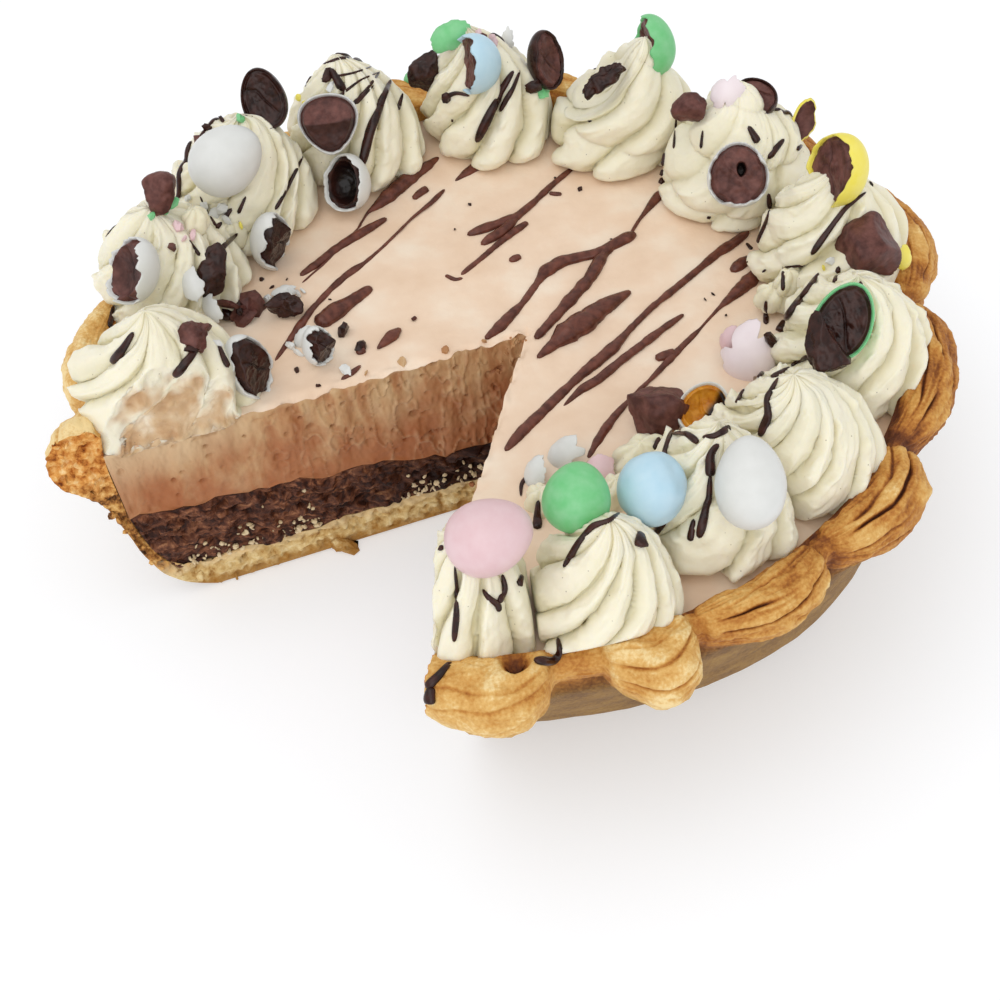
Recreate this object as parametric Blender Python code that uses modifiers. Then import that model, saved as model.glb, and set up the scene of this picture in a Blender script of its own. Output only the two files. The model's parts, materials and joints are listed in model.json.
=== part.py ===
"""Chocolate cream pie with one slice cut out.

A fluted pastry crust holds a fudge layer and a deep chocolate mousse. Thirteen piped cream
swirls stand round the edge, dressed with whole and broken sugar-shelled chocolate eggs.
The frame is in metres, +Z up, with the origin under the middle of the pie's box.
"""
import math
import random
from typing import NamedTuple

import bmesh
import bpy
from mathutils import Matrix, Vector

MM = 0.001

# Pastry case, in millimetres: outer wall, rim and inner wall as distance from the axis and height
BASE_RADIUS = 89.0
FLOOR_TOP = 10.5
OUTER_WALL = ((BASE_RADIUS, 0.0), (97.0, 3.5), (104.0, 11.0), (112.0, 42.0), (114.0, 54.0))
INNER_WALL = ((109.0, 60.0), (107.3, 35.0), (104.0, 21.0), (98.5, FLOOR_TOP))

# Towards the front right the case draws in below the rim, by this share at its foot
DRAW_IN = 0.18
DRAW_IN_MIDDLE = 268.0
DRAW_IN_HALF_WIDTH = 72.0
DRAW_IN_HEIGHT = 60.0

# Flutes of the rim: where each notch lies, in degrees round the axis, and how far the flute
# that follows it stands out from the notches, in millimetres
FLUTES = (
    (358.5, 14.5), (24.0, 10.0), (46.5, 9.0), (69.0, 13.0), (92.0, 13.0), (115.0, 10.0),
    (137.5, 9.0), (160.0, 9.0), (184.0, 9.5), (205.0, 8.0), (228.0, 9.0), (251.0, 14.0),
    (275.0, 12.5), (290.0, 8.5), (310.0, 12.0), (330.5, 10.0),
)
COLUMNS_PER_FLUTE = 6
NOTCH_REACH = 112.5
FLUTE_SKEW = 1.4

# Fillings
TURN_STEPS = 56
MOUSSE_TOP = 60.6
FUDGE_TOP = ((0.0, 25.0), (45.0, 30.0), (78.0, 34.0), (106.6, 36.0))
GAP = 0.3

# The missing slice: its point, and the directions in which its two faces run out to the rim
SLICE_POINT = (8.2, 5.8)
LEFT_FACE = 194.8
RIGHT_FACE = 252.4
SLICE_LENGTH = 160.0

# Cream swirls: place round the axis in degrees, distance from the axis, foot radius, height,
# twist in degrees, and how far the tip leans along the ring, in millimetres
SWIRLS = (
    (260.0, 93.5, 19.5, 33.0, 25.0, 1.0), (280.5, 95.0, 19.5, 34.0, 110.0, 1.0),
    (302.0, 88.5, 21.0, 33.0, 85.0, 2.0), (322.0, 90.5, 22.5, 34.0, 120.0, -2.0),
    (346.5, 94.0, 22.5, 34.0, 120.0, -2.0), (11.0, 96.0, 23.5, 35.0, 130.0, 1.0),
    (37.5, 95.0, 23.0, 36.0, 120.0, 2.0), (63.0, 97.0, 23.0, 38.0, 140.0, -8.0),
    (87.0, 98.0, 20.5, 38.0, 120.0, 4.0), (111.0, 99.0, 20.5, 37.0, 110.0, 2.0),
    (134.0, 99.0, 23.0, 36.0, 120.0, -4.0), (157.0, 97.0, 22.0, 34.0, 90.0, 1.0),
    (184.0, 89.0, 22.5, 34.0, 110.0, 2.0),
)
# Above this height the cream swells out over the rim, by this much for each millimetre it rises
SWELL_HEIGHT = 64.5
SWELL = 0.8
RIDGES = 9
COLUMNS_PER_RIDGE = 3
GROOVE_DEPTH = 0.17
# From foot to tip: share of the foot radius, share of the height
SWIRL_PROFILE = (
    (0.0, 0.0), (0.92, 0.0), (1.0, 0.13), (0.95, 0.29), (0.83, 0.46),
    (0.66, 0.62), (0.44, 0.78), (0.21, 0.92), (0.0, 1.0),
)

# Chocolate streaks on the mousse: start, end, width and height at the middle, and sideways bow
STREAKS = (
    (-34, 66, -29, 72, 6.0, 0.0), (-18, 80, -13, 85, 3.5, 0.0), (-55, 40, -27, 64, 4.0, 1.0),
    (-46, 32, -10, 73, 3.0, 1.0), (-63, 2, -43, 35, 3.0, -1.5), (-21, 68, -14, 75, 3.0, 0.0),
    (-10, 74, -5, 79, 4.5, 0.0), (8, 54, 25, 72, 3.0, 0.5), (-9, 33, 10, 56, 4.5, -1.0),
    (-6, 51, 11, 56, 3.5, 0.5), (-1, 42, 14, 54, 3.0, 0.0), (42, 43, 52, 55, 3.0, 0.5),
    (14, 32, 45, 46, 6.0, -2.5), (-5, 4, 18, 35, 4.0, 1.5), (9, 1, 43, 45, 5.0, 1.0),
    (18, 6, 41, 20, 5.0, -1.5), (10, -7, 29, 15, 9.0, 1.0), (44, 11, 69, 34, 4.0, -2.0),
    (13, -22, 48, 15, 3.5, 1.0), (-2, -39, 16, -18, 5.0, 0.0), (15, -26, 54, 8, 3.0, 0.0),
    (60, 7, 70, 16, 4.0, -0.5), (32, -27, 66, 13, 3.0, 0.5), (18, -47, 36, -22, 3.5, -0.5),
    (67, 21, 72, 28, 4.0, 0.0), (-51, 18, -32, 33, 7.0, 1.0), (-34, 5, -25, 15, 4.5, 0.0),
    (-43, -5, -38, 0, 3.0, 0.0), (43, -11, 49, -7, 3.5, 0.0),
)
STREAK_SINK = 0.5
STREAK_STEPS = 4
# Height of a streak above the mousse, as a share of its width
STREAK_HEIGHT = 0.25


class Topping(NamedTuple):
    """A whole or broken sugar-shelled egg: its middle, and the way its cut or convex side faces.

    facing is round the axis and tilt above level, in degrees. spin turns the long side clockwise
    from upright, as seen by whoever the piece faces. Sizes are in millimetres.
    """
    name: str
    kind: str
    x: float
    y: float
    z: float
    facing: float
    tilt: float
    spin: float
    long: float
    wide: float
    colour: str


TOPPINGS = (
    Topping("egg_pink", "whole", -7, -95, 92.5, 270, 45, 75, 21.0, 17.0, "pink"),
    Topping("egg_green", "whole", 14, -82, 89, 270, 45, 10, 18.0, 16.0, "green"),
    Topping("egg_blue", "whole", 32, -78, 84, 270, 40, 10, 18.5, 16.5, "blue"),
    Topping("egg_white_front", "whole", 54, -84, 89, 280, 35, 8, 22.0, 16.5, "white"),
    Topping("egg_white_left", "whole", -69.4, 55.4, 92.2, 260, 40, 50, 22.0, 18.5, "white"),
    Topping("chunk_dark_front", "chunk", 38, -35.2, 67.2, 250, 40, 20, 14.0, 13.0, "chocolate"),
    Topping("cup_amber", "half", 52.2, -37, 67.5, 265, 55, 30, 14.0, 12.5, "white"),
    Topping("shell_blush_right", "shell", 64.4, -16, 67.6, 235, 25, 20, 16.0, 14.0, "pink"),
    Topping("chunk_right", "chunk", 79.5, -38, 89, 260, 30, -10, 16.0, 11.0, "chocolate"),
    Topping("half_mint", "half", 86, -29, 91, 262, 40, 20, 19.0, 15.0, "green"),
    Topping("chunk_yellow_edge", "chunk", 102.1, 3.9, 82.6, 255, 45, 10, 18.0, 16.0, "chocolate"),
    Topping("half_yellow", "half", 97, 17, 98, 215, 25, 10, 21.0, 17.5, "yellow"),
    Topping("half_holed", "half", 71, 36, 83, 262, 42, 0, 18.0, 17.0, "white"),
    Topping("shell_pink_back", "shell", 71.3, 56.8, 95.7, 250, 40, 30, 12.0, 10.0, "pink"),
    Topping("half_brown_back", "half", 83.1, 60.4, 93.1, 250, 60, -60, 13.0, 9.0, "chocolate"),
    Topping("shell_yellow_edge", "shell", 93.6, 62.1, 79.7, 300, 25, -35, 15.0, 10.0, "yellow"),
    Topping("chunk_brown_back", "chunk", 61, 55, 86, 250, 40, 60, 9.0, 8.0, "chocolate"),
    Topping("half_green", "half", 56, 86, 95, 205, 20, -15, 17.5, 13.0, "green"),
    Topping("chunk_bark", "chunk", 39, 77, 91, 250, 45, 45, 14.0, 8.0, "chocolate"),
    Topping("half_brown_upright", "half", 24.1, 96.5, 85.3, 300, 20, 10, 18.0, 13.0, "chocolate"),
    Topping("half_blue", "half", 2, 88, 93, 205, 30, 20, 16.5, 15.5, "blue"),
    Topping("shell_green", "shell", -3.5, 96, 97.5, 265, 40, 60, 15.0, 10.0, "green"),
    Topping("chunk_green_edge", "chunk", -11.5, 99.5, 82.5, 250, 40, 30, 10.0, 9.0, "chocolate"),
    Topping("half_flat_topped", "half", -41.1, 75.2, 86.1, 272, 40, 0, 17.5, 16.5, "white"),
    Topping("half_hollow", "half", -38.5, 67.5, 70.7, 240, 30, -10, 17.0, 15.0, "white"),
    Topping("half_bubbled", "half", -58.5, 77.5, 95.5, 262, 35, -15, 18.0, 13.0, "chocolate"),
    Topping("chunk_green_back", "chunk", -87, 39, 95.5, 250, 40, 30, 11.0, 10.0, "chocolate"),
    Topping("half_white_torn", "half", -96, 21, 86, 222, 35, 15, 20.0, 16.0, "white"),
    Topping("chunk_dark_left", "chunk", -75.3, 27.7, 76.6, 280, 45, 20, 12.0, 7.0, "chocolate"),
    Topping("shell_white_left", "shell", -81.3, 20.7, 78.6, 230, 50, -50, 14.0, 8.0, "white"),
    Topping("half_standing", "half", -60.1, 46.5, 69.1, 310, 20, 0, 17.0, 12.0, "white"),
    Topping("chunk_on_mousse", "chunk", -57.2, 23.7, 64.5, 270, 50, 80, 14.0, 9.0, "chocolate"),
    Topping("half_small", "half", -48, 3, 66.8, 300, 25, 0, 12.0, 9.0, "white"),
    Topping("half_dark_big", "half", -66, -4, 71, 290, 40, 15, 19.0, 13.0, "white"),
    Topping("chunk_small_left", "chunk", -78, -10, 87, 270, 45, 70, 11.0, 8.0, "chocolate"),
    Topping("shell_pink_front", "shell", 22.1, -52.6, 65, 260, 40, 0, 10.0, 9.0, "pink"),
)
EGG_COLUMNS = 8
EGG_ROWS = 6
EGG_TAPER = 0.12
HALF_CUT = 0.12
SHELL_CUT = 0.28
SHELL_WALL = 1.0
CHUNK_DEPTH = 0.75
CHUNK_ROUGHNESS = 0.2
CANDY_COLOURS = {
    "pink": (0.87, 0.66, 0.70), "green": (0.33, 0.72, 0.42), "blue": (0.48, 0.71, 0.88),
    "white": (0.88, 0.88, 0.86), "yellow": (0.85, 0.75, 0.14), "chocolate": (0.10, 0.035, 0.028),
}


def clear_scene():
    for item in list(bpy.data.objects):
        bpy.data.objects.remove(item, do_unlink=True)


def new_collection(name):
    group = bpy.data.collections.new(name)
    bpy.context.scene.collection.children.link(group)
    return group


def new_material(name, colour, roughness):
    material = bpy.data.materials.new(name)
    material.use_nodes = True
    shader = material.node_tree.nodes["Principled BSDF"]
    shader.inputs["Base Color"].default_value = (*colour, 1.0)
    shader.inputs["Roughness"].default_value = roughness
    shader.inputs["Metallic"].default_value = 0.0
    return material


def new_object(name, body, group, material):
    """Turns a bmesh in millimetres into an object in metres."""
    bmesh.ops.scale(body, vec=(MM, MM, MM), verts=body.verts)
    mesh = bpy.data.meshes.new(name)
    body.to_mesh(mesh)
    body.free()
    item = bpy.data.objects.new(name, mesh)
    mesh.materials.append(material)
    group.objects.link(item)
    return item


def polar(radius, degrees, height=0.0):
    angle = math.radians(degrees)
    return Vector((radius * math.cos(angle), radius * math.sin(angle), height))


def drawn_in(point):
    """Moves a point of the case or its fillings towards the axis, most at the foot and the front."""
    angle = math.degrees(math.atan2(point.y, point.x))
    away = abs((angle - DRAW_IN_MIDDLE + 180.0) % 360.0 - 180.0) / DRAW_IN_HALF_WIDTH
    if away >= 1.0 or point.z >= DRAW_IN_HEIGHT:
        return point
    share = DRAW_IN * math.cos(math.pi / 2 * away) ** 2 * (1.0 - point.z / DRAW_IN_HEIGHT)
    return Vector((point.x * (1.0 - share), point.y * (1.0 - share), point.z))


def loft(rings):
    """A closed body through rings of equal count, from the outer bottom over the rim to the floor."""
    body = bmesh.new()
    rows = [[body.verts.new(drawn_in(point)) for point in ring] for ring in rings]
    count = len(rings[0])
    for low, high in zip(rows, rows[1:]):
        for i in range(count):
            j = (i + 1) % count
            body.faces.new((low[i], low[j], high[j], high[i]))
    body.faces.new(reversed(rows[0]))
    body.faces.new(rows[-1])
    return body


def flute_columns():
    """Yields, for each column round the rim, its direction and how far the flute swells there."""
    for i, (start, reach) in enumerate(FLUTES):
        end = FLUTES[(i + 1) % len(FLUTES)][0]
        width = (end - start) % 360.0
        for k in range(COLUMNS_PER_FLUTE):
            share = k / COLUMNS_PER_FLUTE
            swell = math.sin(math.pi * share ** FLUTE_SKEW) ** 0.6
            yield start + width * share, reach * swell


def crust_rings():
    """Rings of the case. The rim is a thick band that waves in and out, highest on each flute."""
    columns = list(flute_columns())
    largest = max(reach for start, reach in FLUTES)

    def ring(radius, height, out, up):
        points = []
        for angle, swell in columns:
            points.append(polar(radius + out * swell, angle, height + up * swell / largest))
        return points

    rings = [ring(radius, height, 0.0, 0.0) for radius, height in OUTER_WALL]
    rings.append(ring(NOTCH_REACH - 0.5, 56.0, 0.8, -6.0))
    rings.append(ring(NOTCH_REACH + 0.5, 60.0, 1.0, -3.0))
    rings.append(ring(NOTCH_REACH, 63.0, 1.0, 1.5))
    rings.append(ring(NOTCH_REACH - 1.5, 65.0, 0.8, 3.5))
    rings.append(ring(NOTCH_REACH - 3.0, 64.0, 0.4, 4.0))
    rings += [ring(radius, height, 0.0, 0.0) for radius, height in INNER_WALL]
    return rings


def slice_cutter(group):
    """A tall three-sided prism over the missing slice."""
    body = bmesh.new()
    point = Vector((*SLICE_POINT, 0.0))
    corners = [point, point + polar(SLICE_LENGTH, LEFT_FACE)]
    corners.append(point + polar(SLICE_LENGTH * 1.3, (LEFT_FACE + RIGHT_FACE) / 2))
    corners.append(point + polar(SLICE_LENGTH, RIGHT_FACE))
    low = [body.verts.new(corner + Vector((0, 0, -20.0))) for corner in corners]
    high = [body.verts.new(corner + Vector((0, 0, 140.0))) for corner in corners]
    for i in range(len(corners)):
        j = (i + 1) % len(corners)
        body.faces.new((low[i], low[j], high[j], high[i]))
    body.faces.new(reversed(low))
    body.faces.new(high)
    cutter = new_object("slice_cutter", body, group, new_material("cutter", (0.5, 0.5, 0.5), 0.5))
    cutter.hide_render = True
    cutter.display_type = "WIRE"
    return cutter


def cut(item, cutter):
    step = item.modifiers.new("cut_" + cutter.name, "BOOLEAN")
    step.operation = "DIFFERENCE"
    step.object = cutter


def turned(name, profile, group, material):
    """A body turned about the axis. The profile runs from the top of the axis, outwards and down."""
    mesh = bpy.data.meshes.new(name)
    points = [(radius * MM, 0.0, height * MM) for radius, height in profile]
    mesh.from_pydata(points, [(i, i + 1) for i in range(len(points) - 1)], [])
    mesh.materials.append(material)
    guide = bpy.data.objects.new(name + "_profile", mesh)
    group.objects.link(guide)
    screw = guide.modifiers.new("turn", "SCREW")
    screw.steps = TURN_STEPS
    screw.render_steps = TURN_STEPS
    screw.use_merge_vertices = True
    screw.merge_threshold = 0.00001
    solid = bpy.data.meshes.new_from_object(guide.evaluated_get(bpy.context.evaluated_depsgraph_get()))
    bpy.data.objects.remove(guide)
    for vert in solid.vertices:
        vert.co = drawn_in(vert.co / MM) * MM
    item = bpy.data.objects.new(name, solid)
    group.objects.link(item)
    return item


def apply_modifiers(item):
    """Puts the evaluated mesh in place of the object's own and drops its modifiers."""
    graph = bpy.context.evaluated_depsgraph_get()
    item.data = bpy.data.meshes.new_from_object(item.evaluated_get(graph))
    item.modifiers.clear()


def inner_wall_radius(height):
    """Distance from the axis to the inner wall of the case at a height."""
    for (r_top, z_top), (r_low, z_low) in zip(INNER_WALL, INNER_WALL[1:]):
        if height >= z_low:
            return r_low + (r_top - r_low) * min(1.0, (height - z_low) / (z_top - z_low))
    return INNER_WALL[-1][0]


def fudge_layer(group, cutter):
    wall = [(radius - GAP, height) for radius, height in INNER_WALL if FLOOR_TOP < height < FUDGE_TOP[-1][1]]
    profile = list(FUDGE_TOP) + wall + [(INNER_WALL[-1][0] - GAP, FLOOR_TOP + GAP), (0.0, FLOOR_TOP + GAP)]
    item = turned("fudge_layer", profile, group, new_material("dark_fudge", (0.045, 0.018, 0.012), 0.45))
    cut(item, cutter)
    return item


def streaks(group):
    """Low ridges of chocolate, pointed at both ends and sunk a little in the mousse."""
    coating = new_material("drizzle", CANDY_COLOURS["chocolate"], 0.4)
    for i, (x0, y0, x1, y1, width, bow) in enumerate(STREAKS):
        along = Vector((x1 - x0, y1 - y0, 0.0))
        across = Vector((-along.y, along.x, 0.0)).normalized()
        middle = Vector((x0 + x1, y0 + y1, 2.0 * (MOUSSE_TOP - STREAK_SINK))) / 2.0
        body = bmesh.new()
        bmesh.ops.create_uvsphere(body, u_segments=4, v_segments=STREAK_STEPS, radius=1.0)
        for vert in body.verts:
            side, rise, share = vert.co
            point = middle + along * 0.5 * share + across * (0.5 * width * side + bow * (1.0 - share ** 2))
            vert.co = point + Vector((0.0, 0.0, rise * (STREAK_SINK + STREAK_HEIGHT * width)))
        new_object("streak_%02d" % i, body, group, coating)


def mousse_layer(group, cutter):
    edge = FUDGE_TOP[-1][1]
    wall = [(radius - GAP, height) for radius, height in INNER_WALL if edge < height < MOUSSE_TOP]
    floor = [(radius, height + GAP) for radius, height in reversed(FUDGE_TOP)]
    profile = [(0.0, MOUSSE_TOP), (inner_wall_radius(MOUSSE_TOP) - GAP, MOUSSE_TOP)] + wall + floor
    item = turned("mousse_layer", profile, group, new_material("chocolate_mousse", (0.56, 0.35, 0.25), 0.5))
    lines = new_collection("streaks")
    streaks(lines)
    step = item.modifiers.new("join_streaks", "BOOLEAN")
    step.operation = "UNION"
    step.operand_type = "COLLECTION"
    step.collection = lines
    apply_modifiers(item)
    for line in list(lines.objects):
        bpy.data.objects.remove(line)
    cut(item, cutter)
    return item


def egg_point(vert, long, wide):
    """Turns a point of a unit sphere into one of an egg whose long side lies along Y."""
    taper = 1.0 - EGG_TAPER * vert.z
    return Vector((vert.x * taper * wide, vert.z * long, -vert.y * taper * wide)) / 2.0


def trimmed(body, height, keep_low, close):
    """Cuts a body level at a height, keeps the part below or above, and closes the cut if asked."""
    whole = body.verts[:] + body.edges[:] + body.faces[:]
    result = bmesh.ops.bisect_plane(
        body, geom=whole, plane_co=(0.0, 0.0, height), plane_no=(0.0, 0.0, 1.0),
        clear_outer=keep_low, clear_inner=not keep_low)
    if close:
        edges = [item for item in result["geom_cut"] if isinstance(item, bmesh.types.BMEdge)]
        bmesh.ops.edgeloop_fill(body, edges=edges)


def topping_body(row, grow):
    """The piece in its own frame, facing +Z with its long side along Y, grown all round by grow."""
    long = row.long + 2.0 * grow
    wide = row.wide + 2.0 * grow
    body = bmesh.new()
    if row.kind == "chunk":
        draw = random.Random(row.name)
        bmesh.ops.create_icosphere(body, subdivisions=1, radius=1.0)
        for vert in body.verts:
            size = 0.5 + 0.5 * draw.uniform(-CHUNK_ROUGHNESS, CHUNK_ROUGHNESS)
            vert.co = Vector((vert.co.x * wide, vert.co.y * long, vert.co.z * wide * CHUNK_DEPTH)) * size
        return body
    bmesh.ops.create_uvsphere(body, u_segments=EGG_COLUMNS, v_segments=EGG_ROWS, radius=1.0)
    for vert in body.verts:
        vert.co = egg_point(vert.co.copy(), long, wide)
    if row.kind == "half":
        trimmed(body, HALF_CUT * row.wide + grow, True, True)
    if row.kind == "shell":
        trimmed(body, SHELL_CUT * row.wide - 3.0 * grow, False, grow > 0.0)
        bmesh.ops.translate(body, verts=body.verts, vec=(0.0, 0.0, -0.4 * row.wide))
    body.normal_update()
    bmesh.ops.recalc_face_normals(body, faces=body.faces)
    return body


def topping(row, grow, name, group, material):
    facing = polar(math.cos(math.radians(row.tilt)), row.facing, math.sin(math.radians(row.tilt)))
    up = (Vector((0.0, 0.0, 1.0)) - facing * facing.z).normalized()
    right = up.cross(facing)
    long_side = up * math.cos(math.radians(row.spin)) + right * math.sin(math.radians(row.spin))
    frame = Matrix((long_side.cross(facing), long_side, facing)).transposed().to_4x4()
    frame.translation = Vector((row.x, row.y, row.z)) * MM
    item = new_object(name, topping_body(row, grow), group, material)
    item.matrix_world = frame
    if row.kind == "shell" and grow == 0.0:
        wall = item.modifiers.new("wall", "SOLIDIFY")
        wall.thickness = SHELL_WALL * MM
        wall.offset = -1.0
    return item


def swirl(index, group, material):
    """One piped swirl: a ridged cone of cream whose ridges wind round it from foot to tip."""
    place, distance, foot, height, twist, lean = SWIRLS[index]
    draw = random.Random(index + 1)
    size = [draw.uniform(0.95, 1.05) for ridge in range(RIDGES)]
    outward = polar(1.0, place)
    along = polar(1.0, place + 90.0)
    centre = outward * distance + Vector((0, 0, MOUSSE_TOP + GAP))
    count = RIDGES * COLUMNS_PER_RIDGE
    levels = len(SWIRL_PROFILE) - 1
    # Planes through the axis, between this swirl and the next on either side
    limits = []
    for other, sign in ((SWIRLS[index - 1], -1.0), (SWIRLS[(index + 1) % len(SWIRLS)], 1.0)):
        apart = (other[0] - place) * sign % 360.0
        middle = place + sign * apart * foot / (foot + other[2])
        limits.append(polar(1.0, middle + 90.0) * sign)
    body = bmesh.new()
    bmesh.ops.create_uvsphere(body, u_segments=count, v_segments=levels, radius=1.0)
    for vert in body.verts:
        radius, rise = SWIRL_PROFILE[round(math.acos(-vert.co.z) / math.pi * levels)]
        turn = math.atan2(vert.co.y, vert.co.x)
        column = round(turn / (2.0 * math.pi) * count) % count
        ridge = abs(math.sin(math.pi * (column % COLUMNS_PER_RIDGE) / COLUMNS_PER_RIDGE))
        reach = foot * radius * (1.0 - GROOVE_DEPTH * (1.0 - ridge)) * size[column // COLUMNS_PER_RIDGE]
        angle = turn + math.radians(twist) * rise ** 1.3
        point = centre + outward * reach * math.cos(angle) + along * reach * math.sin(angle)
        point += along * lean * rise ** 2
        point.z += height * rise
        for limit in limits:
            over = limit.dot(point) + 0.5 * GAP
            if over > 0.0:
                point -= limit * over
        wall = inner_wall_radius(point.z) - GAP + SWELL * max(0.0, point.z - SWELL_HEIGHT)
        flat = math.hypot(point.x, point.y)
        if flat > wall:
            point.x *= wall / flat
            point.y *= wall / flat
        vert.co = point
    return new_object("cream_swirl_%02d" % (index + 1), body, group, material)


def press_in(swirls, dents):
    """Presses every topping into the cream it rests on, with a small gap all round."""
    for item in swirls:
        step = item.modifiers.new("press_in", "BOOLEAN")
        step.operation = "DIFFERENCE"
        step.operand_type = "COLLECTION"
        step.collection = dents
        apply_modifiers(item)
    for dent in list(dents.objects):
        bpy.data.objects.remove(dent)


def build():
    clear_scene()
    pie = new_collection("chocolate_cream_pie")
    tools = new_collection("cutters")
    dents = new_collection("dents")
    cutter = slice_cutter(tools)
    pastry = new_material("baked_pastry", (0.62, 0.34, 0.12), 0.6)
    crust = new_object("crust", loft(crust_rings()), pie, pastry)
    cut(crust, cutter)
    fudge_layer(pie, cutter)
    mousse_layer(pie, cutter)
    cream = new_material("whipped_cream", (0.83, 0.80, 0.62), 0.45)
    swirls = [swirl(index, pie, cream) for index in range(len(SWIRLS))]
    for row in TOPPINGS:
        material = new_material(row.name, CANDY_COLOURS[row.colour], 0.35)
        topping(row, 0.0, row.name, pie, material)
        topping(row, GAP, row.name + "_dent", dents, material)
    press_in(swirls, dents)
    for item in (swirls[0], swirls[-1]):
        cut(item, cutter)


build()
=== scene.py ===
"""Chocolate cream pie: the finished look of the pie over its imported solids."""
import json
from itertools import product
from typing import NamedTuple

import bmesh
import bpy
import numpy as np
from bpy.props import FloatProperty, FloatVectorProperty, PointerProperty
from mathutils import Matrix, Vector
from mathutils.bvhtree import BVHTree

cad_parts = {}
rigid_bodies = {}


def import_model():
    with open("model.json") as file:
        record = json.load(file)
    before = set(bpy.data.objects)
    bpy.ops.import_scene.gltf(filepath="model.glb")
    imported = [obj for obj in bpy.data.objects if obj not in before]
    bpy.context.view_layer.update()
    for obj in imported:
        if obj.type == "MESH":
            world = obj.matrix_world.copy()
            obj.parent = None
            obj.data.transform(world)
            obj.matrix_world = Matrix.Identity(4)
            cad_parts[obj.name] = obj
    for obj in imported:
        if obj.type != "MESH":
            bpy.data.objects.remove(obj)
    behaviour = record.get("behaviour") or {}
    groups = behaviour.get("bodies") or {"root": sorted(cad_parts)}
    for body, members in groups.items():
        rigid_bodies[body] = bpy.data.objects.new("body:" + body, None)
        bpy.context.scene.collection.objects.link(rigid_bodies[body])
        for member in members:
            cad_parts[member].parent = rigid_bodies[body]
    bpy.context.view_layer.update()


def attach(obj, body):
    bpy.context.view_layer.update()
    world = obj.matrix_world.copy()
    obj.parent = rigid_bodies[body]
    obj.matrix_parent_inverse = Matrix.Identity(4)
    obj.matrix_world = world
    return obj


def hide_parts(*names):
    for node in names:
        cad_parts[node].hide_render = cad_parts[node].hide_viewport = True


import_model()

bl_info = {
    "name": "Chocolate Cream Pie",
    "version": (1, 0, 0),
    "blender": (4, 5, 0),
    "location": "View3D > Sidebar > Pie",
    "description": "Builds a chocolate cream pie with piped cream and candy eggs, with one slice cut out",
    "category": "Add Mesh",
}


def linear(hex_colour):
    """An sRGB hex colour as three linear values."""
    channels = [int(hex_colour[i:i + 2], 16) / 255.0 for i in (1, 3, 5)]
    return tuple(c / 12.92 if c <= 0.04045 else ((c + 0.055) / 1.055) ** 2.4 for c in channels)


# Everything below is worked out in millimetres and put into the meshes in metres.
MM = 0.001
GAP = 0.2

# Pastry case. Outer side from the base to the top of the rim, then inner side down to the
# floor: distance from the axis, height, and how far a flute carries the row out and up.
OUTER_ROWS = (
    (89.0, 0.0, 0.0, 0.0), (97.0, 3.5, 0.0, 0.0), (104.0, 11.0, 0.0, 0.0), (112.0, 42.0, 0.0, 0.0),
    (113.3, 50.5, 0.1, -1.0), (112.0, 54.5, 0.6, -5.5), (112.8, 57.0, 0.95, -5.0),
    (113.3, 60.0, 1.03, -2.5), (113.0, 63.0, 1.02, 1.0), (111.8, 65.3, 0.86, 3.4),
    (109.8, 66.3, 0.55, 4.0), (108.0, 66.0, 0.25, 3.2), (106.8, 64.6, 0.1, 1.4),
)
INNER_ROWS = (
    (98.5, 10.5, 0.0, 0.0), (104.0, 21.0, 0.0, 0.0), (107.3, 35.0, 0.0, 0.0), (108.9, 57.0, 0.0, 0.0),
    (108.0, 61.5, 0.05, 0.6), (106.8, 64.6, 0.1, 1.4),
)
RIM_FOOT = 5
FLOOR_TOP = 10.5
DRAW_IN = 0.18
DRAW_IN_MIDDLE = 268.0
DRAW_IN_HALF_WIDTH = 72.0
DRAW_IN_HEIGHT = 60.0
FLUTE_SKEW = 1.4


class Flute(NamedTuple):
    """A flute of the rim: where its notch lies and how wide the neck at that notch is, in
    degrees, how far it stands out and how deep its layers have cracked apart, in millimetres,
    and how brown it is against the others: partly how it is baked, and partly painted shade,
    which darkens the flutes to the right and lightens those to the left."""
    start: float
    neck: float
    reach: float
    crack: float
    baked_and_shade: float


FLUTES = (
    Flute(358.5, 1.0, 13.5, 1.5, 0.12), Flute(24.0, 1.5, 10.0, 0.9, 0.12),
    Flute(46.5, 1.0, 9.0, 0.8, 0.05), Flute(69.0, 2.0, 13.0, 1.3, 0.0),
    Flute(92.0, 1.0, 13.0, 0.7, 0.06), Flute(115.0, 2.0, 10.0, 1.2, -0.02),
    Flute(137.5, 1.0, 9.0, 0.6, 0.04), Flute(160.0, 1.5, 5.5, 0.5, -0.16),
    Flute(184.0, 1.0, 11.0, 0.5, -0.24), Flute(205.0, 1.0, 8.0, 0.8, 0.0),
    Flute(228.0, 1.0, 9.0, 0.6, 0.0), Flute(251.0, 0.0, 12.0, 0.4, -0.08),
    Flute(275.0, 6.0, 12.5, 0.8, -0.10), Flute(290.0, 0.8, 6.5, 1.6, 0.05),
    Flute(310.0, 1.2, 9.5, 1.9, 0.14), Flute(330.5, 1.2, 8.0, 2.2, 0.28),
)
# Long cracks of the rim: place across it from underside to lip, strength and seed
CRACK_LINES = ((0.26, 0.35, 21), (0.38, 0.6, 22), (0.52, 0.85, 23), (0.67, 0.8, 24), (0.80, 0.4, 25))
# The rim at the left cut is lifted: by this share of its height over LIFT_FROM, growing over the
# last degrees before that cut
LIFT = 0.18
LIFT_FROM = 56.0
LIFT_STARTS = 352.0
# Hollows pressed into the rim where cream and pastry part: middle, radius and depth
RIM_PITS = (((-6.5, -112.0, 68.0), 3.6, 4.5), ((31.5, -108.0, 67.0), 2.2, 2.0))

# Brings a point down to height 0
LEVEL = (1.0, 1.0, 0.0)
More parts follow.
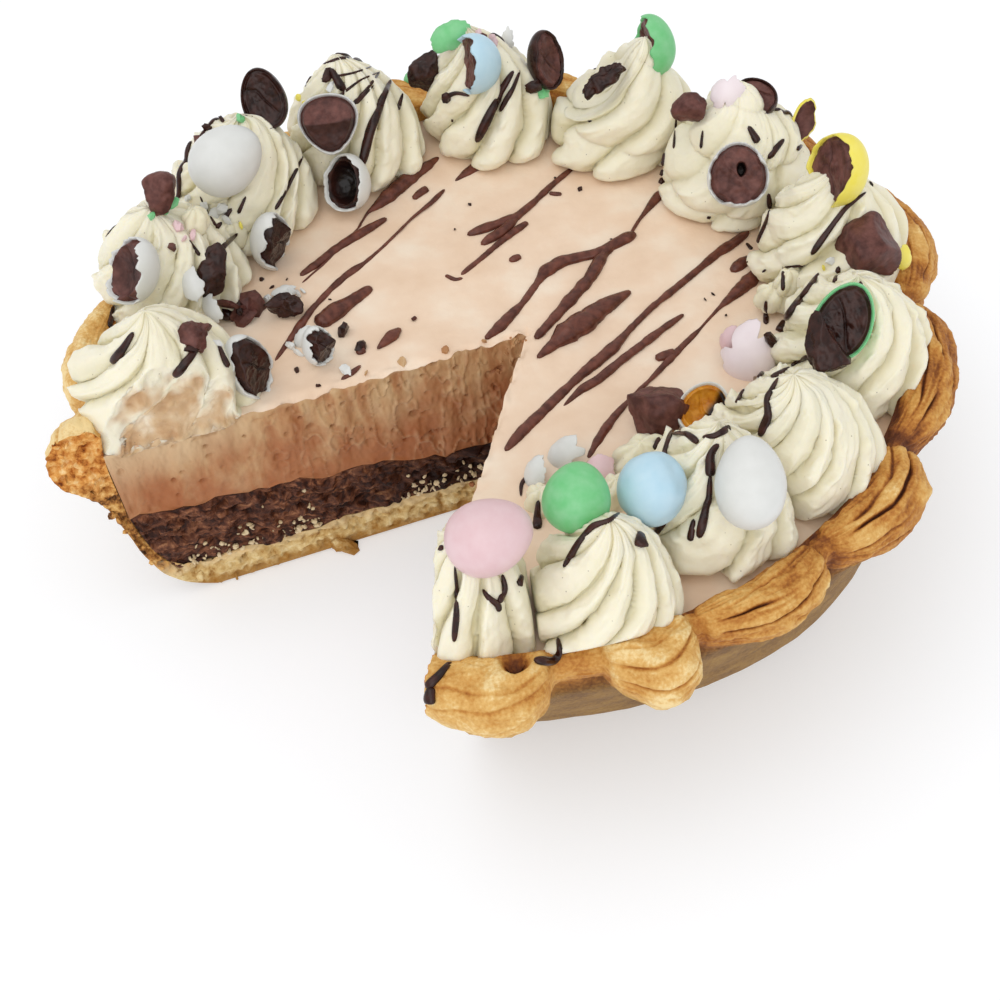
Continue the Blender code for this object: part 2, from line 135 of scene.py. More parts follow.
# Forms made by noise, each row its height and the size of its cells in millimetres, its seed and
# its octaves: border of fudge and mousse, pastry floor, top and brink of the mousse
BORDER_WAVES = ((2.4, 12.0, 0, 3), (0.9, 3.2, 4, 2))
FLOOR_LUMPS = ((1.5, 8.0, 6, 4),)
MOUSSE_WAVES = ((0.45, 22.0, 51, 2), (0.10, 3.0, 52, 2))
MOUSSE_BRINK = ((1.3, 2.8, 53, 3),)
# The same for blisters and grain of the pastry, a cream dab, the face of a broken egg and a chunk
BLISTERS = ((0.85, 7.0, 3, 2),)
PASTRY_GRAIN = ((0.34, 2.2, 8, 3),)
BROWN_PATCHES = ((0.14, 11.0, 12, 2),)
DAB_LUMPS = ((0.9, 5.0, 0, 2), (0.3, 1.8, 5, 2))
BROKEN_FACE = ((0.45, 4.5, 5, 3), (0.18, 1.2, 6, 2))
CHUNK_LUMPS = ((0.24, 2.2, 0, 3), (0.5, 6.0, 0, 1))
# Across the rim, as shares of its outline: how wide a crack is, where the painted shade on the
# underside of the rim lies, and how wide that is
CRACK_WIDTH = 0.012
PAINTED_SHADE_UNDER_RIM = 0.03
PAINTED_SHADE_UNDER_RIM_WIDTH = 0.10
# Reach and rise of a middling flute, by which the outline of the case is measured
MIDDLING_FLUTE = (9.0, 0.6)
# Distance from the axis over which the lumps of the pastry floor fade towards the wall
FLOOR_FADE = (97.0, 88.0)
# Inside of the wall where the fillings meet it, as distance from the axis and height
FLOOR_EDGE = 98.5
WALL_BENDS = ((104.0, 21.0), (107.3, 35.0))
BORDER_EDGE = 107.4
MOUSSE_EDGE = 109.0
MOUSSE_EDGE_FROM = 60.0
# How far the ragged brink of the mousse reaches from a cut, in millimetres
BRINK_WIDTH = 1.6
# Ripples of the knife lie where a noise is about this near to 0, in full up to the second of these
# distances from the axis and not at all beyond the first
RIPPLE_WIDTH = 0.09
RIPPLES_FADE = (78.0, 45.0)
# A cut face of the mousse turns pale over these distances from the axis and these heights, and
# again over the heights of a strip on top
PALE_DISTANCE = (66.0, 82.0)
PALE_HEIGHT = (44.0, 60.0)
PALE_TOP = (59.0, 60.5)
# Stands for a distance that is too far to matter
FAR_AWAY = 99.0
# Pattern of wrinkles and cracks on the rim: millimetres to a degree along it, its size across it,
# and its shift from flute to flute
RIM_PER_DEGREE = 1.95
RIM_ACROSS = 43.0
FLUTE_SHIFT = 50.0
# Heights in millimetres over which the look of the pastry changes: on its outside from rim to wall,
# whose darker colour is painted shade, and in its crumb to the pale top of the floor, to its darker
# underside, to the wall and to the rim
OUTSIDE_TURNS = (56.5, 51.0)
CRUMB_PALE = (7.8, 9.8)
CRUMB_UNDER = (7.8, 4.8)
CRUMB_WALL = (17.0, 24.0)
CRUMB_RIM = (52.0, 62.0)
# How far noise shifts the underside, and how far it shifts wall and rim, in millimetres
CRUMB_UNDER_SHIFT = 6.0
CRUMB_SHIFT = 16.0
# Fudge grows darker along X from the first of these places to the second
FUDGE_DARK = (-60.0, -15.0)
# Rust-brown of the sliced mousse: heights over which it fades upwards and how far noise shifts
# them, distances from the axis over which it comes back and how far noise shifts those
RUST_HEIGHT = (4.0, 26.0)
RUST_HEIGHT_SHIFT = -60.0
RUST_DISTANCE = (94.0, 118.0)
RUST_DISTANCE_SHIFT = 30.0

# Points of the meshes: round the pie, along the outlines, and along and across the cut faces
CASE_TURNS, FUDGE_TURNS, MOUSSE_TURNS = 600, 300, 420
WALL_POINTS, RIM_POINTS, LINING_POINTS, FILLING_WALL_POINTS = 30, 140, 22, 16
BASE_POINTS, FLOOR_POINTS, MOUSSE_TOP_POINTS = 5, 40, 110
CASE_FACE, FUDGE_FACE, MOUSSE_FACE = (240, 30), (220, 50), (300, 90)
RIDGE_POINTS, SWIRL_POINTS = 28, 130
DAB_POINTS, EGG_POINTS, HALF_POINTS = (56, 26), (56, 36), (96, 22, 34)
SHELL_POINTS, CHUNK_POINTS, CRUMB_POINTS = (88, 20), (72, 44), (7, 5)

# Swirls: skew and roundness of a ridge and of a coil, and how the winding grows up the swirl
RIDGE_SKEW, RIDGE_ROUND = 0.62, 0.5
COIL_SKEW, COIL_ROUND = 0.8, 0.6
WINDING = 1.3
# Tears beside the edges of a ridge: place across it, width and strength
TEARS = ((0.16, 0.10, 1.0), (0.85, 0.08, 0.5))
TEAR_DEPTH = 1.8
# Neighbours are nearer than this, in degrees; how far a swirl keeps from their border, and how
# rounded the turn to a neighbour and to the wall is, in millimetres
NEIGHBOUR_WITHIN = 60.0
NEIGHBOUR_GAP = 0.4
NEIGHBOUR_TURN = 0.7
WALL_TURN = 0.6
# Foot of a sliced swirl: how far it slumps and by how much that varies, how far it bulges out of
# the cut, and the height over which both fade, in millimetres
SLUMP = 2.0
SLUMP_VARIES = 1.5
SLUMP_BULGE = 0.5
SLUMP_FADE = 1.5

# Top of the fudge by distance from the axis
FUDGE_TOP = ((0.0, 22.0), (30.0, 25.5), (55.0, 30.5), (78.0, 32.0), (106.6, 36.0))
MOUSSE_TOP = 60.6
SLICE_POINT = np.array((8.2, 5.8))
LEFT_FACE = 194.8
RIGHT_FACE = 252.4
RIGHT_BEND = 2.3


class Swirl(NamedTuple):
    """A piped swirl of cream: where it stands and how it is wound, in millimetres and degrees.

    place and distance are round and from the axis, lean is how far the tip leans along the ring.
    ridges run from foot to tip, phase turns them, groove is their depth as a share of the radius,
    coils and step are the number and depth of the rope's turns, rough is how torn the cream is.
    """
    place: float
    distance: float
    foot: float
    height: float
    twist: float
    lean: float
    ridges: int
    phase: float
    groove: float
    coils: float
    step: float
    rough: float


SWIRLS = (
    Swirl(260.0, 93.5, 19.5, 33.0, 25.0, 1.0, 9, 10.0, 0.20, 0.0, 0.0, 0.5),
    Swirl(280.5, 95.0, 19.5, 31.0, 115.0, 3.0, 9, 0.0, 0.17, 0.0, 0.0, 0.6),
    Swirl(304.5, 84.0, 20.5, 33.0, 85.0, 2.0, 8, 0.0, 0.13, 0.0, 0.0, 1.2),
    Swirl(322.0, 89.0, 21.8, 34.0, 120.0, -2.0, 10, 0.0, 0.17, 0.0, 0.0, 0.9),
    Swirl(346.5, 94.0, 22.5, 34.0, 120.0, -2.0, 9, 0.0, 0.17, 0.0, 0.0, 1.0),
    Swirl(11.0, 96.0, 23.5, 35.0, 130.0, 1.0, 7, 0.0, 0.15, 1.5, 0.05, 0.8),
    Swirl(37.5, 95.0, 23.0, 36.0, 120.0, 2.0, 6, 0.0, 0.06, 3.0, 0.17, 0.6),
    Swirl(63.0, 97.0, 23.0, 38.0, 150.0, -8.0, 6, 0.0, 0.15, 2.0, 0.14, 0.4),
    Swirl(87.0, 98.0, 20.5, 38.0, 120.0, 4.0, 9, 0.0, 0.15, 0.0, 0.0, 0.6),
    Swirl(111.0, 99.0, 20.5, 37.0, 110.0, 2.0, 9, 0.0, 0.17, 0.0, 0.0, 0.5),
    Swirl(134.0, 99.0, 23.0, 36.0, 120.0, -4.0, 9, 0.0, 0.15, 0.0, 0.0, 0.9),
    Swirl(157.0, 97.0, 22.0, 34.0, 90.0, 1.0, 9, 0.0, 0.14, 0.0, 0.0, 1.2),
    Swirl(184.0, 89.0, 22.5, 34.0, 110.0, 2.0, 8, 0.0, 0.17, 0.0, 0.0, 0.6),
)
SWIRL_PROFILE = (
    (0.0, 0.0), (0.7, 0.0), (0.86, 0.01), (0.96, 0.05), (1.0, 0.13), (0.95, 0.29), (0.83, 0.46),
    (0.66, 0.62), (0.44, 0.78), (0.21, 0.92), (0.04, 1.0), (0.0, 1.01),
)
# Where cream was scooped or dragged, for each swirl that shows it: middle, size and push
HOLLOWS = {
    3: (((62.0, -72.0, 80.0), (14.0, 14.0, 12.0), (0.0, 2.0, -4.0)),),
    8: (((34.0, 84.0, 96.0), (11.0, 14.0, 13.0), (2.0, 3.0, -13.0)),
        ((29.5, 88.0, 86.0), (9.0, 14.0, 10.0), (0.0, 0.0, -8.0))),
    11: (((-72.0, 78.0, 98.0), (12.0, 12.0, 8.0), (0.0, 0.0, -4.0)),),
    12: (((-80.0, 36.0, 96.0), (12.0, 12.0, 9.0), (0.0, 0.0, -5.0)),),
    13: (((-108.0, 0.0, 73.0), (13.0, 17.0, 9.0), (-6.0, 0.0, 0.0)),),
}
SWELL_HEIGHT = 64.5
SWELL = 0.8

# Chocolate streaks on the mousse, read off an enlarged view of the photograph: points of
# that view and the width there in its pixels. The view's corner is a point of the photograph's
# picture, STREAK_ENLARGED its pixels to one of the photograph's, and STREAK_PIXELS_PER_MM its
# pixels to a millimetre on the mousse.
STREAK_CORNER = (300, 150)
STREAK_ENLARGED = 2.417
STREAK_PIXELS_PER_MM = 7.25
STREAKS = (
    ((335, 18, 14), (300, 45, 30), (255, 75, 38), (215, 110, 40), (185, 135, 22), (165, 150, 6),
     (135, 195, 4)),
    ((310, 92, 16), (290, 105, 20), (272, 118, 12)),
    ((350, 95, 14), (320, 125, 12), (270, 165, 6), (200, 235, 7), (160, 270, 10), (110, 305, 20),
     (75, 335, 14), (30, 385, 14), (0, 425, 18), (-25, 460, 14), (-60, 510, 12)),
    ((210, 165, 16), (170, 188, 20), (120, 218, 22), (80, 245, 18), (40, 275, 18), (0, 305, 18)),
    ((150, 180, 4), (60, 272, 5), (5, 322, 5)),
    ((175, 330, 20), (140, 355, 26), (90, 390, 40), (60, 410, 44), (40, 425, 36)),
    ((245, 430, 10), (225, 448, 24), (205, 465, 22), (185, 482, 6)),
    ((280, 403, 9), (271, 411, 9)),
    ((534, 256, 10), (518, 263, 20), (504, 269, 10)),
    ((158, 482, 12), (147, 487, 20), (136, 490, 12)),
    ((147, 520, 6), (125, 538, 14), (100, 555, 8)),
    ((445, 25, 20), (425, 42, 28), (400, 58, 18), (375, 75, 5)),
    ((665, 38, 14), (610, 85, 14), (560, 130, 16), (520, 165, 20), (490, 175, 24), (450, 188, 24),
     (403, 206, 18)),
    ((530, 158, 14), (490, 195, 26), (460, 215, 24), (438, 230, 14)),
    ((552, 173, 20), (520, 195, 16), (480, 225, 14), (440, 260, 12), (388, 302, 12)),
    ((350, 302, 8), (375, 315, 10), (394, 310, 6)),
    ((634, 106, 8), (616, 107, 12), (603, 104, 8)),
    ((880, 98, 26), (858, 122, 20), (820, 170, 8), (800, 200, 8)),
    ((812, 200, 26), (785, 215, 34), (745, 238, 26), (715, 252, 24), (680, 258, 24), (630, 270, 30),
     (592, 295, 30), (575, 320, 16), (540, 370, 14), (510, 400, 22), (480, 430, 26), (447, 458, 22)),
    ((760, 225, 26), (735, 250, 24), (700, 310, 28), (660, 355, 30), (620, 400, 22), (568, 458, 22)),
    ((800, 342, 18), (760, 365, 30), (720, 390, 40), (690, 415, 56), (650, 440, 60), (620, 465, 30),
     (573, 502, 14)),
    ((1085, 195, 26), (1050, 225, 28), (1010, 250, 20), (950, 300, 16), (900, 340, 16), (850, 380, 14),
     (800, 430, 14), (760, 475, 24), (720, 510, 26), (680, 545, 20), (630, 590, 20), (580, 640, 24),
     (540, 680, 26), (495, 727, 24)),
    ((928, 396, 12), (880, 430, 16), (830, 470, 18), (780, 505, 20), (720, 555, 18), (680, 580, 20),
     (636, 621, 8)),
    ((1124, 280, 36), (1085, 320, 40), (1050, 350, 24), (1010, 385, 8), (970, 430, 6), (940, 460, 14),
     (900, 500, 16), (850, 550, 10), (800, 600, 8), (760, 645, 16), (735, 680, 20), (715, 710, 18),
     (695, 748, 18)),
    ((908, 489, 18), (880, 497, 24), (857, 506, 16)),
    ((1088, 259, 16), (1064, 277, 30), (1042, 294, 14)),
)
# Holes in the mousse where it was cut: picture point and radius in millimetres
CUT_HOLES = (
    (415, 414, 1.3), (434, 363, 0.8), (390, 383, 0.6), (364, 397, 0.5), (456, 368, 0.7), (399, 386, 0.4),
    (478, 349, 0.6), (342, 402, 0.5), (452, 343, 0.5), (332, 425, 0.6), (300, 417, 0.4), (372, 430, 0.4),
    (245, 437, 0.4), (206, 447, 0.5), (467, 395, 0.4), (423, 376, 0.5), (496, 388, 0.5), (352, 440, 0.4),
)


class Topping(NamedTuple):
    """A whole or broken sugar-shelled egg: its middle, and the way its cut or convex side faces.

    facing is round the axis and tilt above level, in degrees. spin turns the long side clockwise
    from upright, as seen by whoever the piece faces. Sizes are in millimetres.
    """
    name: str
    kind: str
    x: float
    y: float
    z: float
    facing: float
    tilt: float
    spin: float
    long: float
    wide: float
    colour: str


TOPPINGS = (
    Topping("egg_pink", "whole", -7, -95, 92.5, 270, 45, 75, 21.0, 17.0, "pink"),
    Topping("egg_green", "whole", 14, -82, 89, 270, 45, 10, 18.0, 16.0, "green"),
    Topping("egg_blue", "whole", 32, -78, 84, 270, 40, 10, 18.5, 16.5, "blue"),
    Topping("egg_white_front", "whole", 54, -84, 89, 280, 35, 8, 22.0, 16.5, "white"),
    Topping("egg_white_left", "whole", -69.4, 55.4, 92.2, 260, 40, 50, 22.0, 18.5, "white"),
    Topping("chunk_dark_front", "chunk", 38, -35.2, 67.2, 250, 40, 20, 14.0, 13.0, "chocolate"),
    Topping("cup_amber", "half", 52.2, -37, 67.5, 265, 55, 30, 14.0, 12.5, "white"),
    Topping("shell_blush_right", "shell", 64.4, -16, 67.6, 235, 25, 20, 16.0, 14.0, "pink"),
    Topping("chunk_right", "chunk", 79.5, -38, 89, 260, 30, -10, 16.0, 11.0, "chocolate"),
    Topping("half_mint", "half", 86, -29, 91, 262, 40, 20, 19.0, 15.0, "green"),
    Topping("chunk_yellow_edge", "chunk", 102.1, 3.9, 82.6, 255, 45, 10, 18.0, 16.0, "chocolate"),
    Topping("half_yellow", "half", 97, 17, 98, 215, 25, 10, 21.0, 17.5, "yellow"),
    Topping("half_holed", "half", 71, 36, 83, 262, 42, 0, 18.0, 17.0, "white"),
    Topping("shell_pink_back", "shell", 71.3, 56.8, 95.7, 250, 40, 30, 12.0, 10.0, "pink"),
    Topping("half_brown_back", "half", 83.1, 60.4, 93.1, 250, 60, -60, 13.0, 9.0, "chocolate"),
    Topping("shell_yellow_edge", "shell", 93.6, 62.1, 79.7, 300, 25, -35, 15.0, 10.0, "yellow"),
    Topping("chunk_brown_back", "chunk", 61, 55, 86, 250, 40, 60, 9.0, 8.0, "chocolate"),
    Topping("half_green", "half", 56, 86, 95, 205, 20, -15, 17.5, 13.0, "green"),
    Topping("chunk_bark", "chunk", 39, 77, 91, 250, 45, 45, 14.0, 8.0, "chocolate"),
    Topping("half_brown_upright", "half", 24.1, 96.5, 85.3, 300, 20, 10, 18.0, 13.0, "chocolate"),
    Topping("half_blue", "half", 2, 88, 93, 205, 30, 20, 16.5, 15.5, "blue"),
    Topping("shell_green", "shell", -3.5, 96, 97.5, 265, 40, 60, 15.0, 10.0, "green"),
    Topping("chunk_green_edge", "chunk", -11.5, 99.5, 84.0, 250, 40, 30, 10.0, 9.0, "chocolate"),
    Topping("half_flat_topped", "half", -41.1, 75.2, 86.1, 272, 40, 0, 17.5, 16.5, "white"),
    Topping("half_hollow", "half", -38.5, 67.5, 70.7, 240, 30, -10, 17.0, 15.0, "white"),
    Topping("half_bubbled", "half", -58.5, 77.5, 95.5, 262, 35, -15, 18.0, 13.0, "chocolate"),
    Topping("chunk_green_back", "chunk", -87, 39, 95.5, 250, 40, 30, 11.0, 10.0, "chocolate"),
    Topping("half_white_torn", "half", -96, 21, 86, 222, 35, 15, 20.0, 16.0, "white"),
    Topping("chunk_dark_left", "chunk", -75.3, 27.7, 76.6, 280, 45, 20, 12.0, 7.0, "chocolate"),
    Topping("shell_white_left", "shell", -81.3, 20.7, 78.6, 230, 50, -50, 14.0, 8.0, "white"),
    Topping("half_standing", "half", -60.1, 46.5, 69.1, 310, 20, 0, 17.0, 12.0, "white"),
    Topping("chunk_on_mousse", "chunk", -57.2, 23.7, 64.5, 270, 50, 80, 14.0, 9.0, "chocolate"),
    Topping("half_small", "half", -48, 3, 66.8, 300, 25, 0, 12.0, 9.0, "white"),
    Topping("half_dark_big", "half", -66, -4, 71, 290, 40, 15, 19.0, 13.0, "white"),
    Topping("chunk_small_left", "chunk", -78, -10, 87, 270, 45, 70, 11.0, 8.0, "chocolate"),
    Topping("shell_pink_front", "shell", 22.1, -52.6, 65, 260, 40, 0, 10.0, 9.0, "pink"),
)
# How a topping looks beyond its solid. long, wide, x, y, z, facing, tilt, spin and colour change
# its row. In millimetres: hollow, a bowl in its face; ridge, a roof over it with its line at crest;
# hole; crack, a groove across it; ragged, its broken edge. split darkens it on one side of crest.
# point narrows one end. sides, crisp and rough are the breaks of a chunk, how sharp their edges
# are and how uneven they are. chocolate names its inside.
LOOKS = {
    "egg_pink": dict(long=20.5, wide=17.5),
    "egg_green": dict(long=17.0, z=88.0, spin=15),
    "egg_blue": dict(long=18.0, ragged=0.5, point=0.12),
    "half_yellow": dict(facing=200, tilt=15, ragged=1.3, x=93.5, z=96.5),
    "half_green": dict(facing=190, tilt=5, ragged=1.2, long=18.5, wide=15.0, spin=-20, x=53.3, z=93.4),
    "half_blue": dict(facing=192, tilt=10, ragged=1.3, long=18.0, wide=17.0),
    "half_brown_upright": dict(facing=320, tilt=18, wide=12.0, hollow=1.2),
    "half_white_torn": dict(facing=216, tilt=30, hollow=2.5, ragged=3.2, z=85.0),
    "half_standing": dict(facing=325, tilt=-4, ragged=1.8, ridge=2.5, chocolate="plain", long=19.0,
                          wide=13.0),
    "half_small": dict(facing=318, tilt=14, ridge=4.0, ragged=1.6, chocolate="plain"),
    "half_dark_big": dict(facing=322, tilt=14, ragged=1.6, ridge=2.5, chocolate="plain", spin=-6,
                          long=20.5, y=-5.5, z=69.8),
    "half_mint": dict(facing=256, hollow=0.8, ragged=0.6, chocolate="plain", y=-32.5, z=88.0, long=20.5),
    "half_flat_topped": dict(ridge=4.5, ragged=0.8, crest=-0.05, split=0.6, crack=0.0, spin=180, point=0.16,
                             long=17.5, wide=17.0),
    "half_holed": dict(hole=4.5, ridge=1.6, ragged=2.6, crack=0.2),
    "half_hollow": dict(facing=222, tilt=28, hollow=6.0, ragged=1.1, chocolate="plain"),
    "half_bubbled": dict(hollow=1.2, chocolate="plain"),
    "half_brown_back": dict(wide=10.0, ridge=1.5, x=80.0, z=90.6),
    "cup_amber": dict(hollow=3.2, ragged=0.5, chocolate="amber", x=50.4, y=-38.8, z=68.6,
                      long=15.0, wide=13.5),
    "shell_blush_right": dict(long=21.0, wide=17.5, ragged=0.52, colour="blush", y=-19.0, z=66.6),
    "shell_pink_back": dict(colour="blush", ragged=0.5),
    "shell_yellow_edge": dict(facing=120, tilt=-25, ragged=0.15),
    "chunk_on_mousse": dict(long=11.0, wide=7.5, rough=3.0, sides=18),
    "chunk_small_left": dict(long=10.5, rough=3.0, sides=16, chocolate="milk"),
    "chunk_dark_front": dict(chocolate="milk", point=-0.2, sides=9),
    "chunk_right": dict(long=15.5, wide=8.5, point=0.4, sides=8, y=-40.0, z=86.5),
    "chunk_yellow_edge": dict(chocolate="milk", point=0.35, sides=9, long=15.5, wide=15.5, x=99.8, z=79.6,
                              crisp=3.0, rough=1.0),
    "chunk_brown_back": dict(chocolate="milk", long=8.0, wide=6.5, y=57.5, z=90.5),
    "chunk_green_back": dict(chocolate="milk", sides=9, long=9.5, wide=8.5, rough=1.6),
    "chunk_bark": dict(long=16.0, wide=7.0, sides=20, rough=4.0),
}
EGG_TAPER = 0.12
# Middle and size of the hole in a pierced egg's face
HOLE_MIDDLE = (0.9, 1.5)
HOLE_SIZE = (0.8, 1.25)
HALF_CUT = 0.12
SHELL_CUT = 0.28

# Camera of the photograph, fitted to its rim, base and cut faces, in millimetres and degrees:
# elevation, distance, focal length in pixels of a picture 1000 wide, target and roll
CAMERA_ELEVATION = 47.3172
CAMERA_DISTANCE = 533.881
CAMERA_FOCAL = 1903.277
CAMERA_TARGET = (-3.714, -17.352, 20.0)
CAMERA_ROLL = -6.158
PICTURE_WIDTH = 1000.0
# The lens: how wide its sensor is in millimetres, and how far it sees in metres
SENSOR_WIDTH = 36.0
FARTHEST_SEEN = 50.0

# Stage: half the floor's side in metres and its cells along a side, how far it lies under the pie
# in millimetres, and the ways in which the two lights shine
FLOOR_REACH = 4.0
FLOOR_CELLS = 8
FLOOR_DROP = 0.3
KEY_HEADING = (0.40, 0.15, -1.0)
FILL_HEADING = (0.05, 0.90, -0.55)

# How bright the floor glows and the size of its faint grain in millimetres
FLOOR_GLOW = 0.38
FLOOR_GRAIN = 400.0

# What drizzle, crumbs and scraps may lie on
CARRIERS = ("piped_cream", "cream_dab", "pastry_case", "mousse_filling")

# Chocolate drizzled over the cream and the rim: width, then points of the photograph's picture
DRIZZLE = (
    (1.5, (455, 566), (457, 600), (456, 622), (454, 642)), (1.7, (502, 574), (506, 588), (498, 603)),
    (1.8, (483, 589), (490, 600), (498, 604), (499, 612)), (1.6, (442, 545), (441, 551)),
    (2.2, (558, 638), (561, 652), (554, 662), (534, 661)), (2.4, (452, 661), (439, 676), (426, 688)),
    (3.2, (433, 686), (430, 695), (431, 704)), (2.2, (523, 570), (518, 586)),
    (1.9, (621, 512), (608, 521), (593, 525), (578, 544), (564, 568)), (3.6, (640, 531), (641, 548)),
    (2.2, (539, 500), (537, 530)), (1.4, (521, 497), (521, 483), (531, 474), (543, 468)),
    (1.8, (659, 437), (652, 457)), (1.8, (673, 428), (669, 440), (664, 457)), (2.4, (666, 521), (655, 533)),
    (1.8, (672, 434), (686, 433), (699, 443)), (1.7, (702, 437), (716, 436), (731, 426)),
    (2.7, (719, 444), (710, 452), (710, 477)), (2.0, (710, 474), (709, 497), (699, 538)),
    (1.7, (694, 519), (690, 541)), (2.2, (779, 378), (767, 398), (769, 415), (760, 436)),
    (1.7, (745, 389), (737, 403)), (1.8, (808, 355), (793, 366), (772, 378)), (1.6, (770, 361), (759, 378)),
    (1.5, (766, 300), (766, 325)), (2.4, (821, 271), (808, 290), (785, 320), (777, 337)),
    (1.6, (839, 266), (835, 283)), (1.4, (860, 281), (863, 298)), (1.2, (783, 266), (783, 291)),
    (1.0, (784, 267), (806, 265)), (1.9, (866, 192), (845, 208), (826, 234), (811, 255)),
    (1.1, (869, 181), (876, 191)), (1.7, (768, 193), (770, 213), (758, 243)), (1.3, (746, 243), (752, 250)),
    (2.3, (748, 126), (758, 143)), (2.0, (784, 139), (767, 159)), (1.4, (807, 141), (796, 150)),
    (1.0, (676, 116), (674, 149)), (1.0, (703, 130), (701, 149)), (1.9, (665, 151), (661, 188)),
    (3.0, (513, 71), (495, 103), (476, 142)), (1.8, (520, 70), (513, 88), (500, 112)),
    (2.0, (538, 81), (526, 92)), (2.9, (398, 62), (381, 102), (370, 132), (361, 167)),
    (1.3, (389, 58), (376, 77), (364, 93), (350, 107)), (0.9, (381, 63), (354, 73), (321, 79)),
    (0.9, (384, 70), (360, 80), (338, 97)), (2.6, (331, 68), (337, 80), (344, 92)),
    (1.0, (318, 66), (340, 58), (368, 57)), (1.0, (374, 85), (356, 104)), (1.2, (395, 52), (384, 62)),
    (1.4, (303, 156), (291, 181), (275, 210)), (1.3, (185, 149), (183, 170)),
    (2.4, (238, 233), (221, 248), (214, 276), (203, 298)), (0.9, (200, 196), (208, 213), (216, 226)),
    (1.6, (232, 208), (222, 222), (212, 232)), (1.1, (189, 240), (200, 256)),
    (1.6, (113, 306), (109, 328)), (2.6, (134, 332), (125, 347), (112, 363)),
    (2.4, (201, 342), (189, 359), (174, 376)), (2.0, (217, 342), (222, 356), (228, 368)),
    (1.6, (470, 96), (456, 92), (444, 98)), (1.3, (404, 88), (398, 110)), (1.2, (246, 196), (238, 214)),
)
# Steps along streaks and drizzle in pixels of the photograph's picture
STREAK_STEP = 1.8
DRIZZLE_STEP = 1.6
# How high the lines on the outer flanks start, their points, and how far they waver
FLANK_START = 150.0
FLANK_POINTS = 48
FLANK_WAVER = 0.8
# Drizzle on the outer flanks, where the photograph does not reach: width and both ends in plan
FLANK_DRIZZLE = (
    (1.8, 84, 58, 98, 72), (1.4, 78, 66, 90, 78), (2.2, 50, 92, 62, 106), (1.4, 38, 100, 47, 111),
    (1.8, 8, 100, 18, 114), (1.3, -4, 104, 5, 115), (2.0, -38, 92, -28, 108), (1.4, -50, 94, -41, 106),
    (1.6, -82, 70, -70, 84), (2.2, -92, 60, -80, 74), (1.4, -104, 38, -92, 52),
)

# Dabs of cream beside the swirls: the picture point each stands at, its length, width and height
# in millimetres, and the way its length runs
DABS = (
    (641, 463, 16.0, 11.0, 8.5, 20.0), (616, 498, 10.0, 9.0, 8.0, 60.0), (541, 505, 9.0, 8.0, 6.5, 110.0),
    (218, 205, 9.0, 6.0, 5.0, 160.0), (196, 222, 8.0, 6.5, 5.0, 60.0), (232, 236, 10.0, 7.0, 5.5, 20.0),
    (788, 283, 9.0, 6.0, 5.0, 40.0), (772, 300, 9.0, 7.0, 5.5, 150.0),
)


class Crumbs(NamedTuple):
    """Crumbs of one kind: what they are, their size in millimetres and where they lie in the
    photograph's picture."""
    kind: str
    size: float
    spots: tuple


CRUMBS = (
    Crumbs("dark", 4.6, ((297, 64), (322, 56), (236, 306), (343, 333), (774, 343), (624, 43), (776, 89))),
    Crumbs("dark", 3.0, ((328, 76), (245, 318), (183, 155), (208, 130), (361, 349), (533, 87), (447, 97),
                         (726, 76), (528, 39), (228, 314), (222, 122), (420, 711), (190, 350), (238, 352))),
    Crumbs("milk", 3.2, ((514, 25), (482, 38), (200, 141), (171, 247), (252, 304), (206, 330), (410, 66))),
    Crumbs("dark", 1.3, ((272, 288), (287, 280), (276, 296), (713, 295), (726, 316), (709, 217), (297, 371),
                         (556, 180), (580, 190), (705, 300), (470, 205), (452, 120), (590, 122), (262, 280),
                         (318, 386), (330, 300), (612, 240), (765, 270), (748, 262), (455, 230))),
    Crumbs("white", 2.6, ((291, 294), (268, 301), (303, 292), (291, 347), (299, 355), (204, 205), (224, 209),
                          (228, 220), (189, 197), (332, 88), (831, 262), (216, 344), (280, 300), (312, 330))),
    Crumbs("pink", 3.2, ((177, 228), (193, 236), (492, 42), (785, 97), (184, 240), (478, 34))),
    Crumbs("yellow", 2.4, ((306, 103), (732, 151), (699, 115), (240, 226), (824, 269), (300, 98))),
    Crumbs("green", 3.0, ((242, 119), (546, 91), (407, 57), (540, 94), (152, 216))),
    Crumbs("crust", 2.6, ((56, 447), (62, 456), (70, 464), (84, 472), (92, 480), (98, 490), (105, 506),
                          (113, 514), (126, 530), (141, 549), (151, 561), (160, 567), (200, 575), (236, 576),
                          (262, 571), (66, 446), (80, 462), (180, 573), (290, 566), (120, 520))),
    Crumbs("crust", 7.0, ((344, 544), (337, 546), (352, 542))),
    Crumbs("mousse", 2.0, ((512, 345), (518, 352), (507, 353), (501, 362), (519, 343), (498, 371), (515, 340),
                           (504, 395), (497, 414), (489, 438), (480, 460), (472, 484), (446, 351), (402, 363),
                           (366, 374), (484, 342), (507, 348), (494, 425), (524, 341), (511, 362))),
    Crumbs("milk", 6.5, ((236, 310), (246, 321), (229, 305), (251, 309), (240, 318))),
    Crumbs("white", 3.6, ((270, 303), (281, 299), (291, 301), (299, 297), (275, 309), (346, 372))),
)
# Crumbs of pastry on each cut face, before those that would miss it are left out, and their size
FACE_CRUMBS = 150
FACE_CRUMB_SIZE = 1.3
# How far below its picture point a scrap may land, and the steps tried, in pixels
SCRAP_SEARCH = 40.0
SCRAP_STEP = 2.0
